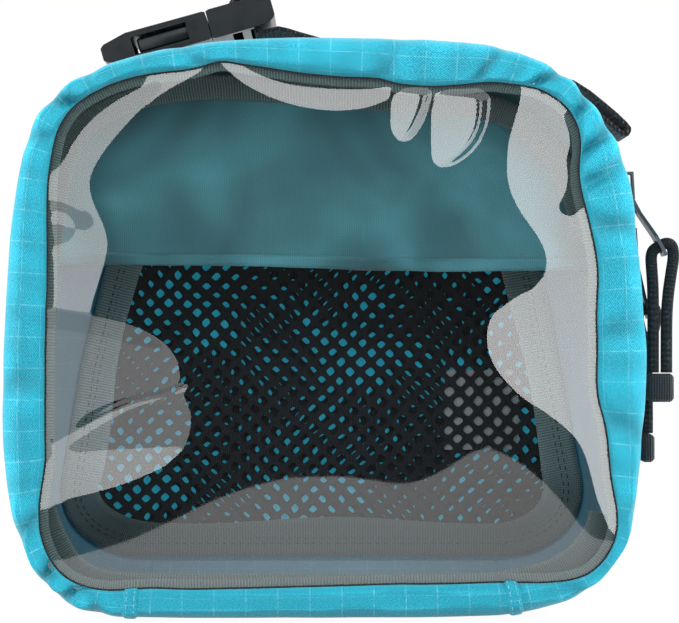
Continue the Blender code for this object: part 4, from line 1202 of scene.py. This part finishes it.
# Sewing thread again, dyed dark
dark_thread = woven_material("dark_thread", "#2c3a3c", "#141c1e", 0.4, cross=0.4)
for row, inset in enumerate((6.6, 8.4)):
    x, z = ring_point(BACK, loop_shares, inset)
    sewn = stitches(f"back_tape_stitch_{row}", np.column_stack((x, np.full_like(x, 82.9), z)),
                    dark_thread, pitch=2.8, length=2.1, radius=0.2)
    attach(sewn, "base")

# ---- Retention flap -------------------------------------------------------------------------
# A light teal cloth hangs inside across the upper third, sewn along the front seam, with a narrow
# hem. It hangs by its own weight, so it is laid out in code with shallow folds.
FLAP_TOP, FLAP_FOOT, FLAP_DEPTH = 173.0, 110.2, 35.0
FLAP_WIDTH, FLAP_LENGTH, HEM_LENGTH = 183, 63, 4
CLOTH_THICKNESS = 0.5
# Light plain-woven polyester, with a soft sheen and patches of painted shade and light
flap_cloth = woven_material("teal_plain_weave", "#45838d", "#336b75", 0.6, cross=0.6, depth=0.12,
                            sheen=0.35, roughness=0.6, painted_rumple_shade=0.42)
heights = np.linspace(100, 174, 60)
flap_sides = []
for sign in (-1, 1):
    half = sign * FRONT[0] > 0
    order = np.argsort(FRONT[1][half])
    flap_sides.append(np.interp(heights, FRONT[1][half][order], FRONT[0][half][order]) - sign * 7)


def flap_place(u, v):
    """u from the left side to the right one, v from the top down. It folds more the lower."""
    z = FLAP_TOP + (FLAP_FOOT - FLAP_TOP) * v
    left, right = (np.interp(z, heights, edge) for edge in flap_sides)
    x = left + (right - left) * u
    hang = np.clip((v - 0.15) / 0.85, 0, 1)
    folds = (2.6 * np.sin(u * 13 + 0.7 + v * 5) + 1.8 * np.sin(u * 25 - v * 6)
             + 3.2 * ripple(x, z, 34, 21)) * hang
    tuck = 1.6 * np.exp(-((u - 0.57) / 0.014) ** 2) * hang ** 3
    foot = (0.9 - 2.1 * np.clip((u - 0.25) / 0.4, 0, 1)) * hang ** 4
    return x, FLAP_DEPTH + folds + tuck, z + foot


flap = piece("retention_flap_cloth",
             surface(150, 60, flap_place, (FLAP_WIDTH, FLAP_LENGTH)), (flap_cloth,))
thicken(flap, CLOTH_THICKNESS)
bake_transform(flap)
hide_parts("retention_flap", "flap_header")


def hem_place(u, v):
    """The turned-up hem, in front of the flap's foot."""
    x, depth, z = flap_place(u, 0.945 + 0.062 * v)
    return x, depth - 0.55, z


hem = piece("flap_hem_fold", surface(150, 3, hem_place, (FLAP_WIDTH, HEM_LENGTH)), (flap_cloth,))
thicken(hem, CLOTH_THICKNESS)
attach(hem, "flap")
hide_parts("flap_hem")

# ---- Front seam tape ------------------------------------------------------------------------
# The seam between zip tape and side band is bound too; its top stretch hangs lower and shows
# above the flap. A second length binds the lid's seam at the foot.
def sag(t):
    """1 along the top, falling to 0 round the upper corners."""
    return np.exp(-((t - 0.5) / 0.13) ** 4)


front_tape = ribbon("front_seam_tape", FRONT,
                    (share_near(FRONT, 104, 60), share_near(FRONT, -100, 60)),
                    (lambda t: 5.0 + 6.5 * sag(t), lambda t: 12.6 + 7.2 * sag(t)),
                    (32.2, 32.6), (grosgrain,), 0.6)
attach(front_tape, "base")
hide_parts("top_tape")

foot_tape = ribbon("foot_seam_tape", FRONT,
                   (share_near(FRONT, -100, 30) - 1, share_near(FRONT, 101, 30)),
                   (5.5, 13.5), (9.4, 9.0), (grosgrain,), 0.5, count=300)
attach(foot_tape, "lid")

# ---- Zip sliders and pullers ----------------------------------------------------------------
# Die-cast sliders with a bail, painted nearly black, and stamped pullers that hang from them.
def cast_material(name, dark, colour, grain, gloss, bump_height):
    """A cast or moulded surface: slightly mottled, with a fine grain that is grain mm across and
    breaks up its gloss, whose roughness runs between the two values of gloss."""
    made, tree, shader = start_material(name)
    place = add(tree, "TexCoord")
    flow = add(tree, "TexNoise", None, {"Vector": place.outputs["Object"],
                                        "Scale": 1 / (grain * MM), "Detail": 3.0})
    tint = add(tree, "Mix", {"data_type": "RGBA"}, {0: flow.outputs[0], 6: linear(dark),
                                                    7: linear(colour)})
    shine = add(tree, "MapRange", None, {"Value": flow.outputs[0], "To Min": gloss[0],
                                         "To Max": gloss[1]})
    bump = add(tree, "Bump", None, {"Height": flow.outputs[0], "Strength": 0.15,
                                    "Distance": bump_height * MM})
    tree.links.new(tint.outputs[2], shader.inputs["Base Color"])
    tree.links.new(shine.outputs[0], shader.inputs["Roughness"])
    tree.links.new(bump.outputs[0], shader.inputs["Normal"])
    return made, shader


# Zinc under black paint, which wears to a half metallic gloss
painted, shader = cast_material("black_painted_zinc", "#1c262c", "#3a474f", 1.43, (0.25, 0.5), 0.1)
shader.inputs["Metallic"].default_value = 0.4
for node in ("slider_upper", "slider_lower", "puller_upper", "puller_lower"):
    refined(node, f"{node}_cast", painted, 0.25)

# ---- Pull cords -----------------------------------------------------------------------------
# A loop of black braided cord through each puller, its two ends moulded into a flat stub.
# Braided polyester, matt, with a few pale hairs
braid = woven_material("black_braided_cord", "#141f25", "#05090c", 1.1, cross=1.3, depth=0.7,
                       fleck=0.1, sheen=0.05)
# Soft PVC moulded with a fine woven grain
moulding = woven_material("black_moulded_end", "#222b30", "#12181c", 0.8, cross=0.9, depth=0.5)

# For each cord where it hangs from its puller, and its route from there as x, depth and z
CORD_ROUTES = {
    "upper": ((106.64, 21.0, 116.07), (
        (-2.1, 0, -40), (-2.1, 0, -32), (-2.1, 0, -22), (-2.2, 0, -13), (-2.6, 0, -6.5),
        (-2.7, 0, -3.4), (-2.0, 0, -1.3), (0, 0, 0), (2.1, 0, 0.9), (3.8, 0, 0), (4.3, 0, -3.4),
        (3.6, 0, -8.5), (2.7, 0, -15), (2.2, 0, -22), (2.1, 0, -32), (2.1, 0, -40))),
    "lower": ((103.91, 30.5, 96.54), (
        (0, -2.1, -40), (0, -2.1, -32), (-0.1, -2.1, -22), (-0.7, -1.9, -13), (-2.0, -1.2, -7),
        (-2.6, -0.4, -3.4), (-2.1, 0, -1.2), (0, 0, 0), (2.0, 0, 0.4), (3.1, 0.3, -1.2),
        (3.0, 1.0, -5.0), (1.9, 1.8, -10), (0.8, 2.1, -16), (0.3, 2.1, -24), (0.1, 2.1, -32),
        (0, 2.1, -40)))}
CORD_WIDTH = 3.7        # with its nap
for place_name, (eye, route) in CORD_ROUTES.items():
    path = rounded(np.array(route) + eye, 5)
    cord = piece(f"pull_cord_{place_name}_braid",
                 swept(path, circle(CORD_WIDTH / 2, 12), up=(0.3, 1, 0.1)), (braid,))
    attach(cord, f"pull_{place_name}")
    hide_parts(f"pull_cord_{place_name}")
    end = refined(f"cord_end_{place_name}", f"cord_stub_{place_name}", moulding, 0.9, 3)

# ---- Buckle and straps ----------------------------------------------------------------------
# A side-release buckle of black acetal lies across the top, edge on to the camera: the socket on
# a short tab sewn to the left, the plug with its ladder lock on the strap from the right.
# Injection-moulded acetal, smooth and half glossy
acetal, shader = cast_material("black_acetal", "#070d10", "#0f171b", 3.85, (0.22, 0.36), 0.13)
shader.inputs["Specular IOR Level"].default_value = 0.3

# The buckle's left end, and the slope at which it lies
BUCKLE_AT = Vector((-71.2, 0, 178.2)) * MM
BUCKLE_TILT = math.radians(15.8)
BUCKLE_ALONG = Vector((math.cos(BUCKLE_TILT), 0, math.sin(BUCKLE_TILT)))
BUCKLE_UP = Vector((-math.sin(BUCKLE_TILT), 0, math.cos(BUCKLE_TILT)))


def slimmed(made, cuts, thinner):
    """Cuts a buckle half across at places along it, then thins it by the share thinner gives."""
    bm = bmesh.new()
    bm.from_mesh(made.data)
    for cut in cuts:
        bmesh.ops.bisect_plane(bm, geom=bm.verts[:] + bm.edges[:] + bm.faces[:],
                               plane_co=BUCKLE_AT + BUCKLE_ALONG * cut * MM,
                               plane_no=BUCKLE_ALONG)
    for vert in bm.verts:
        away = vert.co - BUCKLE_AT
        height = away.dot(BUCKLE_UP)
        vert.co += BUCKLE_UP * height * (thinner(away.dot(BUCKLE_ALONG) / MM) - 1)
    bm.to_mesh(made.data)
    bm.free()


for node, round_off in (("buckle_female", 0.7), ("buckle_male", 0.7),
                        ("buckle_prong_near", 0.4), ("buckle_prong_far", 0.4)):
    half = refined(node, f"{node}_moulded", acetal, round_off, 3)
    if node == "buckle_female":
        slimmed(half, (1.2, 7, 9, 34.6), lambda u: np.interp(
            u, (0, 1.2, 9, 33, 34.6, 35.5), (0.4, 0.62, 1, 1, 0.97, 0.9)))
    if node == "buckle_male":
        slimmed(half, (36.8, 52.5, 55, 56.4), lambda u: np.interp(
            u, (0, 35.8, 36.8, 52.5, 55, 56.4, 57.1), (1, 0.92, 1, 1, 0.88, 0.72, 0.5)))

# Heavy nylon webbing with coarse ribs, dull, with pale specks of wear
strap_weave = woven_material("black_nylon_webbing", "#181e22", "#07090b", 1.3, cross=1.6, depth=0.8,
                             fleck=0.25)
for node in ("strap_left", "strap_keeper", "webbing_tab"):
    refined(node, f"{node}_webbing", strap_weave, 0.3)
right_strap = refined("strap_right", "strap_right_webbing", strap_weave, 0.3, rides=False)
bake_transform(right_strap)
